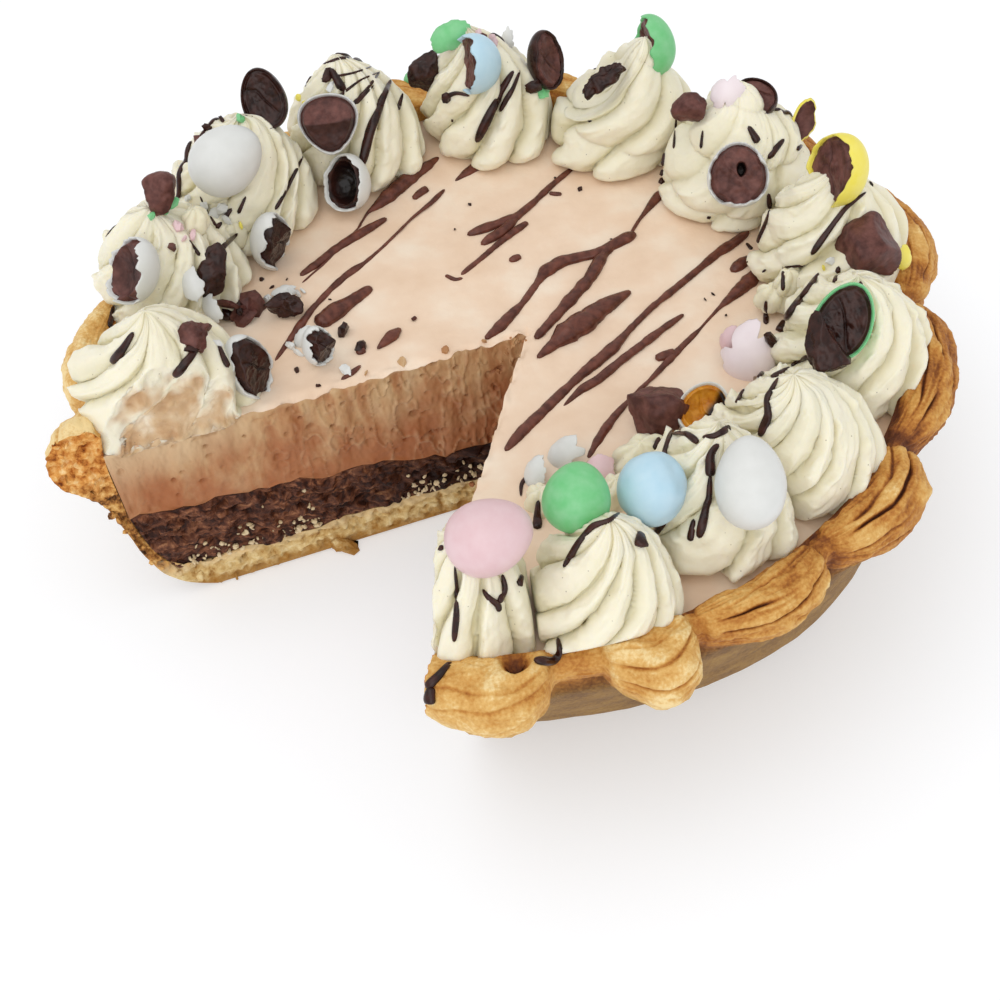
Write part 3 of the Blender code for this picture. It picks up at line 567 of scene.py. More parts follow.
# Scraps of sugar shell: the picture point each is seen at, its facing, tilt, spin, length, width
# and colour
SCRAPS = (
    (563, 461, 205, 35, 30, 16.0, 10.0, "white"), (534, 482, 215, 30, 0, 11.0, 9.0, "white"),
    (160, 210, 250, 50, 60, 10.0, 5.5, "green"), (505, 40, 265, 30, 0, 8.0, 4.6, "white"),
    (897, 258, 285, 30, 15, 8.0, 6.0, "yellow"),
    (205, 305, 240, 45, -50, 12.0, 6.5, "white"), (285, 296, 270, 60, 80, 9.0, 5.0, "white"),
    (302, 345, 240, 30, 10, 8.0, 5.5, "white"), (214, 211, 260, 50, 20, 7.0, 5.0, "white"),
    (408, 62, 240, 40, 20, 6.0, 4.5, "green"), (730, 350, 235, 20, 0, 9.0, 8.0, "pink"),
)


def smoothstep(low, high, value):
    """0 up to low and 1 from high on, with s * s * (3 - 2 * s) between; low may be the larger."""
    share = np.clip((value - low) / (high - low), 0.0, 1.0)
    return share * share * (3.0 - 2.0 * share)


def unit(vectors):
    """Vectors brought to length 1."""
    return vectors / np.maximum(np.linalg.norm(vectors, axis=-1, keepdims=True), 1e-9)


def full_turn(count):
    """Directions round a whole turn in radians, as one row."""
    return np.arange(count)[None] / count * 2.0 * np.pi


def polar(degrees, radius=1.0, height=0.0):
    """Points at a direction round the axis, a distance from it and a height."""
    angle = np.radians(degrees)
    radius, height, angle = np.broadcast_arrays(radius, height, angle)
    return np.stack((radius * np.cos(angle), radius * np.sin(angle), height), -1)


def noise(points, size, seed=0, octaves=1):
    """Smooth random field, -1 to 1: a hashed number at each corner of a cubic lattice of this
    cell size, blended between the corners with a smoothstep; each octave halves size and height."""
    total = 0.0
    for octave in range(octaves):
        place = np.asarray(points) * (2.0 ** octave / np.asarray(size)) + 17.3 * (seed + octave)
        cell = np.floor(place).astype(np.int64)
        part = place - cell
        part = part * part * (3.0 - 2.0 * part)
        for corner in product((0, 1), repeat=3):
            x, y, z = np.moveaxis(cell + corner, -1, 0)
            mixed = (x * 374761393 + y * 668265263 + z * 1442695041 + (seed + octave) * 69069) & 0xFFFFFFFF
            mixed = ((mixed ^ (mixed >> 13)) * 1274126177) & 0xFFFFFFFF
            value = ((mixed ^ (mixed >> 16)) & 0xFFFF) / 32767.5 - 1.0
            weight = np.prod(np.where(corner, part, 1.0 - part), axis=-1)
            total = total + value * weight * 0.5 ** octave
    return total


def chain_lengths(points):
    """How far along a chain of points each of them lies."""
    return np.concatenate(((0.0,), np.cumsum(np.linalg.norm(np.diff(points, axis=0), axis=1))))


def at_lengths(rows, lengths, wanted):
    """Rows between the rows of a chain, at the wanted lengths along it."""
    return np.stack([np.interp(wanted, lengths, column) for column in rows.T], -1)


def smoothed(values, times):
    """Inner values of a chain, moved towards the mean of their neighbours this many times."""
    for _ in range(times):
        values[1:-1] = 0.5 * values[1:-1] + 0.25 * (values[:-2] + values[2:])
    return values


def layered(points, rows, seed=0):
    """Sum of noises: each row its height, its cell size, its seed and its octaves."""
    return sum(height * noise(points, size, seed + own, octaves) for height, size, own, octaves in rows)


def bell(value, width, middle=0.0):
    """1 at the middle, falling away on both sides as exp(-(away / width) ** 2)."""
    return np.exp(-((value - middle) / width) ** 2)


def dent(points, middle, radius):
    """Near 1 inside a ball and near 0 outside, as exp(-(away / radius) ** 4)."""
    return np.exp(-(np.linalg.norm(points - middle, axis=-1) / radius) ** 4)


def sphere(dip, turn):
    """X, Y and Z of a ball of radius 1: dip from its pole and turn round it, in radians."""
    return np.broadcast_arrays(np.sin(dip) * np.cos(turn), np.sin(dip) * np.sin(turn), np.cos(dip))


def resampled(rows, count, smooth=0):
    """A chain of rows put at even steps of its own length in the first two columns, its inner
    points then moved towards the mean of their neighbours this many times."""
    rows = np.asarray(rows, float)
    length = chain_lengths(rows[:, :2])
    return smoothed(at_lengths(rows, length, np.linspace(0.0, length[-1], count)), smooth)


def surface_normals(points, wrap=False):
    """Unit normals of a grid of points, from the cross product of its row and column steps."""
    down = np.gradient(points, axis=0)
    if wrap:
        over = 0.5 * (np.roll(points, -1, axis=1) - np.roll(points, 1, axis=1))
    else:
        over = np.gradient(points, axis=1)
    return unit(np.cross(down, over))


class Patch(NamedTuple):
    """A grid of points in rows and columns, with a finish and a tone for each point."""
    points: np.ndarray
    wrap: bool = False
    finish: int = 0
    tone: object = 0.0


def new_piece(name, patches, materials, nodes=(), smooth=True):
    """One mesh from patches: every grid becomes quads between neighbouring rows and columns,
    shared edges are merged, faces are turned outward, and the piece rides on the pie."""
    points, faces, finish, tone, start = [], [], [], [], 0
    for patch in patches:
        rows, columns = patch.points.shape[:2]
        i, j = np.meshgrid(np.arange(rows - 1), np.arange(columns - (not patch.wrap)), indexing="ij")
        near, far = i * columns + j, i * columns + (j + 1) % columns
        quads = np.stack((near, far, far + columns, near + columns), -1).reshape(-1, 4) + start
        points.append(patch.points.reshape(-1, 3))
        tone.append(np.broadcast_to(patch.tone, (rows, columns)).ravel())
        faces.append(quads)
        finish.append(np.full(len(quads), patch.finish))
        start += rows * columns
    mesh = bpy.data.meshes.new(name)
    mesh.from_pydata(np.concatenate(points) * MM, [], np.concatenate(faces))
    mesh.attributes.new("tone", "FLOAT", "POINT").data.foreach_set("value", np.concatenate(tone))
    mesh.polygons.foreach_set("material_index", np.concatenate(finish).astype(np.int32))
    body = bmesh.new()
    body.from_mesh(mesh)
    bmesh.ops.remove_doubles(body, verts=body.verts, dist=0.012 * MM)
    bmesh.ops.recalc_face_normals(body, faces=body.faces)
    body.to_mesh(mesh)
    body.free()
    mesh.polygons.foreach_set("use_smooth", np.full(len(mesh.polygons), smooth))
    for material in materials:
        mesh.materials.append(material)
    piece = bpy.data.objects.new(name, mesh)
    bpy.context.scene.collection.objects.link(piece)
    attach(piece, "root")
    if nodes:
        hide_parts(*nodes)
    return piece


def add(tree, kind, inputs=None, stops=None, **settings):
    """Adds a node with its settings, its ramp stops from first to last, and its inputs: links,
    values, or colours as hex. A new ramp has two stops, which become the first and the last."""
    node = tree.nodes.new(kind)
    for name, value in settings.items():
        setattr(node, name, value)
    for index, (place, colour) in enumerate((stops[0], stops[-1], *stops[1:-1]) if stops else ()):
        ramp = node.color_ramp.elements
        stop = ramp[index] if index < 2 else ramp.new(place)
        stop.position = place
        stop.color = (*linear(colour), 1.0)
    for name, value in (inputs or {}).items():
        if isinstance(value, bpy.types.NodeSocket):
            tree.links.new(value, node.inputs[name])
        else:
            node.inputs[name].default_value = (*linear(value), 1.0) if isinstance(value, str) else value
    return node


def new_material(name, roughness, ior=1.5, **values):
    """A material with its shader, its node tree and its object coordinates."""
    material = bpy.data.materials.new(name)
    material.use_nodes = True
    tree = material.node_tree
    shader = tree.nodes["Principled BSDF"]
    shader.inputs["Roughness"].default_value = roughness
    shader.inputs["IOR"].default_value = ior
    for socket, value in values.items():
        shader.inputs[socket.replace("_", " ")].default_value = value
    place = add(tree, "ShaderNodeTexCoord").outputs["Object"]
    return material, tree, shader, place


def dress(tree, shader, colour, pattern, strength, depth):
    """Gives a shader its colour, and its fine relief from a pattern, depth millimetres deep."""
    tree.links.new(colour, shader.inputs["Base Color"])
    bump = add(tree, "ShaderNodeBump", {"Strength": strength, "Distance": depth * MM, "Height": pattern})
    tree.links.new(bump.outputs["Normal"], shader.inputs["Normal"])


def per_metre(millimetres):
    """The scale of a texture node whose pattern repeats over this many millimetres."""
    return 1.0 / (millimetres * MM)


def bent(points):
    """The path of the right cut is not quite straight: what lies next to it is turned round the
    slice point, by a share of RIGHT_BEND degrees that grows towards the rim."""
    flat = points[..., :2] - SLICE_POINT
    turn = np.degrees(np.arctan2(flat[..., 1], flat[..., 0])) % 360.0
    share = smoothstep(60.0, 118.0, np.linalg.norm(flat, axis=-1)) * (turn > LEFT_FACE + 20.0)
    angle = np.radians(RIGHT_BEND) * share * smoothstep(RIGHT_FACE + 20.0, RIGHT_FACE, turn)
    across = np.stack((-flat[..., 1], flat[..., 0]), -1)
    flat = SLICE_POINT + flat * np.cos(angle)[..., None] + across * np.sin(angle)[..., None]
    return np.concatenate((flat, points[..., 2:]), -1)


def bent_patches(patches):
    """Patches with their points bent like the right cut."""
    return [patch._replace(points=bent(patch.points)) for patch in patches]


# Pastry case

def flute_values(field):
    """One field of every flute."""
    return np.array([getattr(row, field) for row in FLUTES])


def flute_at(theta):
    """Which flute a direction falls in and how far along it, 0 at its notch to 1 at the next."""
    starts = flute_values("start")
    edges = (starts - starts[0]) % 360.0
    turn = (theta - starts[0]) % 360.0
    index = np.searchsorted(edges, turn, side="right") - 1
    width = np.diff(np.append(edges, 360.0))
    neck = flute_values("neck") * 0.5
    before, after = neck[index], np.roll(neck, -1)[index]
    share = (turn - edges[index] - before) / (width[index] - before - after)
    return index, np.clip(share, 0.0, 1.0)


def flute_swell(theta):
    """How far the rim stands out: the flute's reach times sin(pi * share ** skew) ** 0.6."""
    index, share = flute_at(theta)
    reach = flute_values("reach")
    return reach[index] * np.abs(np.sin(np.pi * share ** FLUTE_SKEW)) ** 0.6


def draw_in(theta, height):
    """Share by which the case is drawn towards the axis, most at its foot and its front."""
    away = np.abs((theta - DRAW_IN_MIDDLE + 180.0) % 360.0 - 180.0) / DRAW_IN_HALF_WIDTH
    near = np.cos(0.5 * np.pi * np.minimum(away, 1.0)) ** 2
    return DRAW_IN * near * np.clip(1.0 - height / DRAW_IN_HEIGHT, 0.0, 1.0)


def turns(count):
    """Directions from the slice point that sweep all the pie that is left, cut face to cut face."""
    return np.linspace(RIGHT_FACE, LEFT_FACE + 360.0, count)


def on_rings(rows, turn, share=1.0):
    """Grid of points: row k lies on the ring rows[k] = (radius, height, out, up), column j in the
    upright plane through the slice point at turn[j]. Where that plane meets the ring is found by
    crossing it with a circle of the ring's radius at the present direction, a few times over.
    share then brings the point back towards the slice point."""
    radius, height, out, up = (np.asarray(rows, float)[:, k, None] for k in range(4))
    heading = polar(turn)[:, :2]
    along = -heading @ SLICE_POINT
    reach = radius + along
    top = flute_values("reach").max()
    for _ in range(6):
        flat = SLICE_POINT + reach[..., None] * heading
        theta = np.degrees(np.arctan2(flat[..., 1], flat[..., 0]))
        swell = flute_swell(theta)
        level = height + up * swell / top
        ring = (radius + out * swell) * (1.0 - draw_in(theta, level))
        reach = along + np.sqrt(along ** 2 - SLICE_POINT @ SLICE_POINT + ring ** 2)
    flat = SLICE_POINT + (reach * share)[..., None] * heading
    return np.concatenate((flat, np.broadcast_to(level, reach.shape)[..., None]), -1)


def fan(radius, count, turn, height, out=None):
    """Level rows from the slice point out to a ring: each row is a share of the way to it."""
    share = np.linspace(0.0, 1.0, count)[:, None]
    edge = out if out is not None else on_rings(((radius, height, 0.0, 0.0),), turn)
    flat = SLICE_POINT + share[..., None] * (edge[-1:, :, :2] - SLICE_POINT)
    return np.concatenate((flat, np.full(flat.shape[:2] + (1,), height)), -1)


def layer_wave(points, seed):
    """Unevenness of the border between two fillings, in millimetres."""
    flat = points * LEVEL
    return layered(flat, BORDER_WAVES, seed)


def floor_height(points):
    """Top of the pastry floor: lumpy, but level where it turns up into the wall."""
    theta = np.degrees(np.arctan2(points[..., 1], points[..., 0]))
    away = np.linalg.norm(points[..., :2], axis=-1) / (1.0 - draw_in(theta, FLOOR_TOP))
    return FLOOR_TOP + layered(points * LEVEL, FLOOR_LUMPS) * smoothstep(*FLOOR_FADE, away)


def fudge_height(points):
    """Top of the fudge: FUDGE_TOP by distance from the axis, plus the unevenness of the border."""
    distance = np.linalg.norm(points[..., :2], axis=-1)
    radius, height = zip(*FUDGE_TOP)
    return np.interp(distance, radius, height) + layer_wave(points, 5)


def cut_face(low, high, rows, normal, relief, finish, tone=1.0):
    """The flat face where a knife went through: straight lines between the lower and the upper
    outline, then pushed along the face's normal by relief, which dies away at the edges."""
    share = np.linspace(0.0, 1.0, rows)[:, None, None]
    points = low + (high - low) * share
    thick = np.linalg.norm(high - low, axis=-1)
    edge = np.minimum(share[..., 0], 1.0 - share[..., 0]) * thick
    points = points + (relief(points) * smoothstep(0.0, 1.2, edge))[..., None] * normal
    return Patch(points, finish=finish, tone=tone(points) if callable(tone) else tone)


FACE_NORMALS = (polar(RIGHT_FACE - 90.0), polar(LEFT_FACE + 90.0))
FACES = tuple(zip((RIGHT_FACE, LEFT_FACE), FACE_NORMALS))


def face_outlines(lower, upper, count):
    """For each cut face: its column in both grids, its normal, and its lower and upper outline."""
    for column, normal in zip((0, -1), FACE_NORMALS):
        yield column, normal, resampled3(lower[:, column], count), resampled3(upper[:, column], count)


def pastry_relief(points, span):
    """Height of the pastry over its smooth form, and how brown it is. span runs over the rim from
    its underside, 0, to its inner lip, 1, and is below 0 on the wall. The rim has blisters and
    crags, thin wrinkles and a few long cracks where its layers have parted, and hollows where the
    cream meets it; its necks and the wall are smoother. The brownness carries painted shade: darker
    in the cracks, notches, wrinkles and hollows, where the relief sinks, under the rim and down the
    wall, and paler where the relief stands up."""
    theta = np.degrees(np.arctan2(points[..., 1], points[..., 0]))
    index, share = flute_at(theta)
    span = np.broadcast_to(span[:, None], theta.shape)
    on_rim = smoothstep(0.0, 0.12, span)
    on_flute = smoothstep(0.0, 0.10, share) * smoothstep(1.0, 0.92, share)
    crack = flute_values("crack")[index]
    spread = np.stack((theta * RIM_PER_DEGREE, RIM_ACROSS * span + index * FLUTE_SHIFT,
                       np.zeros_like(theta)), -1)
    relief = layered(points, BLISTERS) * (0.25 + 0.75 * on_rim * on_flute)
    relief += (layered(points, PASTRY_GRAIN) + 0.16 * np.abs(noise(points, 1.1, 9))) * on_rim
    wrinkle = -np.abs(noise(spread, (9.0, 1.9, 1.0), 15, 2))
    relief += 0.42 * (wrinkle + 0.3) * on_rim * on_flute * np.minimum(crack, 1.3)
    depth = np.zeros_like(relief)
    for level, strength, seed in CRACK_LINES:
        middle = level + 0.05 * noise(spread, (15.0, 400.0, 1.0), seed, 3) + 0.14 * (share - 0.5)
        there = smoothstep(-0.6, -0.1, noise(spread, (14.0, 400.0, 1.0), seed + 10))
        there = there * smoothstep(0.05, 0.3, share) * smoothstep(1.0, 0.88, share)
        depth += 1.15 * crack * strength * there * bell(span, CRACK_WIDTH, middle)
        ledge = smoothstep(middle - 0.01, middle + 0.02, span)
        ledge = ledge * smoothstep(middle + 0.20, middle + 0.06, span)
        relief += 0.6 * crack * strength * ledge * there
    notch = np.minimum(share, 1.0 - share) * 20.0
    crease = 1.1 * bell(notch, 0.55, 0.35) * on_rim
    pit = np.zeros_like(relief)
    for middle, radius, deep in RIM_PITS:
        pit += deep * dent(points, middle, radius)
    # Painted shade: darker in cracks, notches, pits, wrinkles and sunken relief, paler on raised relief
    tone = 0.46 * depth + 0.20 * crease - 0.16 * relief + 0.16 * pit - 0.06 * wrinkle * on_rim * crack
    # Painted shade: the underside of the rim is darkened
    under = 0.30 * bell(span, PAINTED_SHADE_UNDER_RIM_WIDTH, PAINTED_SHADE_UNDER_RIM)
    lip = 0.30 * smoothstep(0.90, 1.0, span)
    # Painted shade: the wall is darkened, most near its foot
    wall = 0.22 * smoothstep(0.02, -0.10, span) + 0.25 * smoothstep(-2.2, -3.3, span)
    # Each flute's brownness is partly painted shade: darker on the right, paler on the left
    baked_and_shade = flute_values("baked_and_shade")[index] * on_rim
    patches = layered(points, BROWN_PATCHES) * on_rim
    return relief - depth - crease - pit, 0.36 + tone + under + lip + wall + baked_and_shade + patches


def case_chain(rows, spans, counts):
    """Rows of the case at even steps along each stretch of its outline, measured on a flute of
    middling reach, and softened so that no corner shows."""
    rows = np.asarray(rows, float)
    swollen = rows[:, :2] + rows[:, 2:] * MIDDLING_FLUTE
    length = chain_lengths(swollen)
    even = []
    for (start, stop), count in zip(spans, counts):
        even.append(np.linspace(length[start], length[stop], count, endpoint=False))
    even = np.append(np.concatenate(even), length[-1])
    chain = smoothed(at_lengths(rows, length, even), 8)
    rim = length[spans[-1][0]]
    return chain, (even - rim) / (length[-1] - rim)


def pastry_case(settings):
    """Wedge-cut pastry case: the outer and inner outlines of its section, swept round the slice
    point from cut face to cut face, meet at the inner lip of the rim and are closed at both. The
    rim is lifted towards the left cut."""
    turn = turns(CASE_TURNS)
    outer, span = case_chain(OUTER_ROWS, ((0, RIM_FOOT - 1), (RIM_FOOT - 1, -1)),
                             (WALL_POINTS, RIM_POINTS))
    inner = resampled(INNER_ROWS, LINING_POINTS, 2)
    wall = on_rings(outer, turn)
    lining = on_rings(inner, turn)
    relief, tone = pastry_relief(wall, span)
    steady = smoothstep(0.0, 0.04, np.linspace(0.0, 1.0, len(span))) * smoothstep(1.0, 0.97, span)
    wall = wall - surface_normals(wall) * (settings.relief * relief * steady[:, None])[..., None]
    lifted = LIFT * smoothstep(LEFT_FACE + LIFT_STARTS, LEFT_FACE + 360.0, turn)
    for points in (wall, lining):
        points[..., 2] += lifted * np.maximum(0.0, points[..., 2] - LIFT_FROM)
    base = fan(0.0, BASE_POINTS, turn, 0.0, wall[:1])
    floor = fan(0.0, FLOOR_POINTS, turn, FLOOR_TOP, lining[:1])
    floor[..., 2] = floor_height(floor)
    lining[-1] = wall[-1]
    outside = np.concatenate((base[:-1], wall))
    inside = np.concatenate((floor[:-1], lining))
    skin = Patch(outside, tone=np.concatenate((np.full((BASE_POINTS - 1, len(turn)), 0.5), tone)))
    patches = [skin, Patch(inside, tone=0.3)]
    for column, normal, low, high in face_outlines(outside, inside, CASE_FACE[0]):

        def crumbly(points, seed=column):
            """Uneven crumb with pits where the noise is low."""
            pits = np.minimum(0.0, noise(points, 2.1, 31 + seed, 2) + 0.22)
            return 0.8 * noise(points, 1.6, 30 + seed, 3) + 2.8 * pits + 0.35
        patches.append(cut_face(low, high, CASE_FACE[1], normal, crumbly, 1))
    return patches


def resampled3(curve, count):
    """Points at even steps of the length of a curve in space."""
    length = chain_lengths(curve)
    return at_lengths(curve, length, np.linspace(0.0, length[-1], count))


def baked_pastry():
    """Baked shortcrust, glazed by its own butter: rough, golden on top and browned in its cracks by painted
    shade, with the wall below the rim painted darker as shade.
    """
    material, tree, shader, place = new_material(
        "baked_shortcrust", 0.62, 1.45, Specular_IOR_Level=0.35)
    tone = add(tree, "ShaderNodeAttribute", attribute_name="tone").outputs["Fac"]
    blotch = add(tree, "ShaderNodeTexNoise",
                 {"Vector": place, "Scale": per_metre(7.0), "Detail": 4.0}).outputs["Fac"]
    grain = add(tree, "ShaderNodeTexNoise",
                {"Vector": place, "Scale": per_metre(0.9), "Detail": 3.0}).outputs["Fac"]
    mixed = add(tree, "ShaderNodeMath", {0: blotch, 1: 0.50, 2: tone}, operation="MULTIPLY_ADD").outputs[0]
    mixed = add(tree, "ShaderNodeMath", {0: grain, 1: 0.50, 2: mixed}, operation="MULTIPLY_ADD").outputs[0]
    mixed = add(tree, "ShaderNodeMath", {0: mixed, 1: 0.50}, operation="SUBTRACT").outputs[0]
    colour = add(tree, "ShaderNodeValToRGB", {"Fac": mixed}, (
        (0.05, "#f2d69c"), (0.22, "#dfb269"), (0.40, "#cc9449"), (0.56, "#b4742f"), (0.75, "#844a1c"),
        (1.0, "#55280f"))).outputs["Color"]
    # Below the rim the colour turns to a darker, olive ramp: painted shade on the wall
    height = add(tree, "ShaderNodeSeparateXYZ", {"Vector": place}).outputs["Z"]
    on_wall = add(tree, "ShaderNodeMapRange", {
        "Value": height, "From Min": OUTSIDE_TURNS[0] * MM, "From Max": OUTSIDE_TURNS[1] * MM}).outputs[0]
    wall = add(tree, "ShaderNodeValToRGB", {"Fac": mixed}, (
        (0.25, "#b39250"), (0.50, "#967034"), (0.72, "#724e21"), (0.95, "#482b11"))).outputs["Color"]
    colour = add(tree, "ShaderNodeMix", {"Factor": on_wall, "A": colour, "B": wall},
                 data_type="RGBA").outputs["Result"]
    flakes = add(tree, "ShaderNodeTexNoise",
                 {"Vector": place, "Scale": per_metre(1.1), "Detail": 6.0, "Roughness": 0.65}).outputs["Fac"]
    dress(tree, shader, colour, flakes, 0.8, 0.6)
    return material


def pastry_crumb():
    """Inside of shortcrust: pale, short crumb on the floor, toasted darker up the wall where it is
    thin and moist from the filling, orange-brown flakes in the rim, with dark pits all over."""
    material, tree, shader, place = new_material(
        "shortcrust_crumb", 0.8, 1.45, Specular_IOR_Level=0.2)
    coarse = add(tree, "ShaderNodeTexNoise",
                 {"Vector": place, "Scale": per_metre(3.2), "Detail": 5.0, "Roughness": 0.66}).outputs["Fac"]
    floor = add(tree, "ShaderNodeValToRGB", {"Fac": coarse}, (
        (0.28, "#6b431d"), (0.36, "#a47a41"), (0.44, "#c5a267"), (0.55, "#d8bc84"),
        (0.72, "#f0deb0"))).outputs["Color"]
    wall = add(tree, "ShaderNodeValToRGB", {"Fac": coarse}, (
        (0.34, "#26140a"), (0.42, "#704722"), (0.49, "#a8713a"), (0.58, "#cc9a56"),
        (0.72, "#e6c285"))).outputs["Color"]
    rim = add(tree, "ShaderNodeValToRGB", {"Fac": coarse}, (
        (0.32, "#6d3413"), (0.41, "#b8702f"), (0.49, "#d8974c"), (0.58, "#e8b670"),
        (0.70, "#f6d9a4"))).outputs["Color"]
    height = add(tree, "ShaderNodeSeparateXYZ", {"Vector": place}).outputs["Z"]
    strip = add(tree, "ShaderNodeMapRange", {
        "Value": height, "From Min": CRUMB_PALE[0] * MM, "From Max": CRUMB_PALE[1] * MM,
        "To Min": 0.0, "To Max": 0.5}).outputs[0]
    floor = add(tree, "ShaderNodeMix", {"Factor": strip, "A": floor, "B": "#f3dfb4"},
                data_type="RGBA").outputs["Result"]
    under = add(tree, "ShaderNodeMath", {0: coarse, 1: CRUMB_UNDER_SHIFT * MM, 2: height},
                operation="MULTIPLY_ADD").outputs[0]
    under = add(tree, "ShaderNodeMapRange", {
        "Value": under, "From Min": CRUMB_UNDER[0] * MM, "From Max": CRUMB_UNDER[1] * MM,
        "To Min": 0.0, "To Max": 0.8}).outputs[0]
    floor = add(tree, "ShaderNodeMix", {"Factor": under, "A": floor, "B": "#a06f2e"},
                data_type="RGBA").outputs["Result"]
    shift = add(tree, "ShaderNodeMath", {0: coarse, 1: CRUMB_SHIFT * MM, 2: height},
                operation="MULTIPLY_ADD").outputs[0]
    up_wall = add(tree, "ShaderNodeMapRange",
                  {"Value": shift, "From Min": CRUMB_WALL[0] * MM, "From Max": CRUMB_WALL[1] * MM}).outputs[0]
    up_rim = add(tree, "ShaderNodeMapRange",
                 {"Value": shift, "From Min": CRUMB_RIM[0] * MM, "From Max": CRUMB_RIM[1] * MM}).outputs[0]
    colour = add(tree, "ShaderNodeMix", {"Factor": up_wall, "A": floor, "B": wall}, data_type="RGBA")
    colour = add(tree, "ShaderNodeMix",
                 {"Factor": up_rim, "A": colour.outputs["Result"], "B": rim}, data_type="RGBA")
    dress(tree, shader, colour.outputs["Result"], coarse, 0.6, 0.5)
    return material


# Fillings

def filling_wall(outline, turn):
    """Outer wall of a filling: points of its outline as distance and height, a gap inside the
    case."""
    rows = resampled([(radius, height, 0.0, 0.0) for radius, height in outline], FILLING_WALL_POINTS)
    rows[:, 0] -= GAP
    return on_rings(rows, turn)


def fudge_filling():
    """Dark fudge between the pastry floor and the mousse: a lower outline that follows floor and
    wall and an upper one that follows the wavy top, swept round the slice point."""
    turn = turns(FUDGE_TURNS)
    wall = filling_wall(((FLOOR_EDGE, FLOOR_TOP + GAP), *WALL_BENDS, (BORDER_EDGE, FUDGE_TOP[-1][1])), turn)
    floor = fan(0.0, FLOOR_POINTS, turn, FLOOR_TOP, wall[:1])
    floor[..., 2] = floor_height(floor) + GAP
    outside = np.concatenate((floor[:-1], wall))
    top = fan(0.0, FLOOR_POINTS, turn, 0.0, wall[-1:])
    top[..., 2] = fudge_height(top)
    outside[-1, :, 2] = top[-1, :, 2]
    patches = [Patch(outside), Patch(top)]
    for column, normal, low, high in face_outlines(outside, top, FUDGE_FACE[0]):

        def lumpy(points, seed=column):
            """Lumps with sharp folds between them."""
            lumps = noise(points, (5.0, 5.0, 3.2), 41 + seed, 3)
            folds = np.abs(noise(points, (3.5, 3.5, 1.6), 44 + seed, 3))
            return 2.0 * lumps - 2.2 * folds + 0.8
        patches.append(cut_face(low, high, FUDGE_FACE[1], normal, lumpy, 0))
    return patches


def dark_fudge():
    """Dense cooked fudge, folded and dragged by the knife: moist, a little glossy, and dark, more
    so from left to right. Its colour follows the noise of its relief: partly its own mottling, and
    partly painted light, darker in the dips and with painted highlights and glints on the lumps."""
    material, tree, shader, place = new_material("dark_fudge", 0.42, 1.48, Specular_IOR_Level=0.22)
    folded = add(tree, "ShaderNodeMapping", {"Vector": place, "Scale": (1.0, 1.0, 1.9)}).outputs[0]
    lumps = add(tree, "ShaderNodeTexNoise",
                {"Vector": folded, "Scale": per_metre(5.5), "Detail": 7.0, "Roughness": 0.68,
                 "Distortion": 1.4}).outputs["Fac"]
    # The palest stops paint highlights and glints on the lumps, the darkest paint shade in the dips
    colour = add(tree, "ShaderNodeValToRGB", {"Fac": lumps}, (
        (0.33, "#1b0b06"), (0.44, "#3c1d12"), (0.53, "#643a27"), (0.62, "#8e5c40"),
        (0.74, "#c89468"))).outputs["Color"]
    across = add(tree, "ShaderNodeSeparateXYZ", {"Vector": place}).outputs["X"]
    deep = add(tree, "ShaderNodeMapRange", {
        "Value": across, "From Min": FUDGE_DARK[0] * MM, "From Max": FUDGE_DARK[1] * MM,
        "To Min": 0.0, "To Max": 0.62}).outputs[0]
    colour = add(tree, "ShaderNodeMix", {"Factor": deep, "A": colour, "B": "#1c0c08"},
                 data_type="RGBA").outputs["Result"]
    dress(tree, shader, colour, lumps, 0.8, 0.7)
    return material


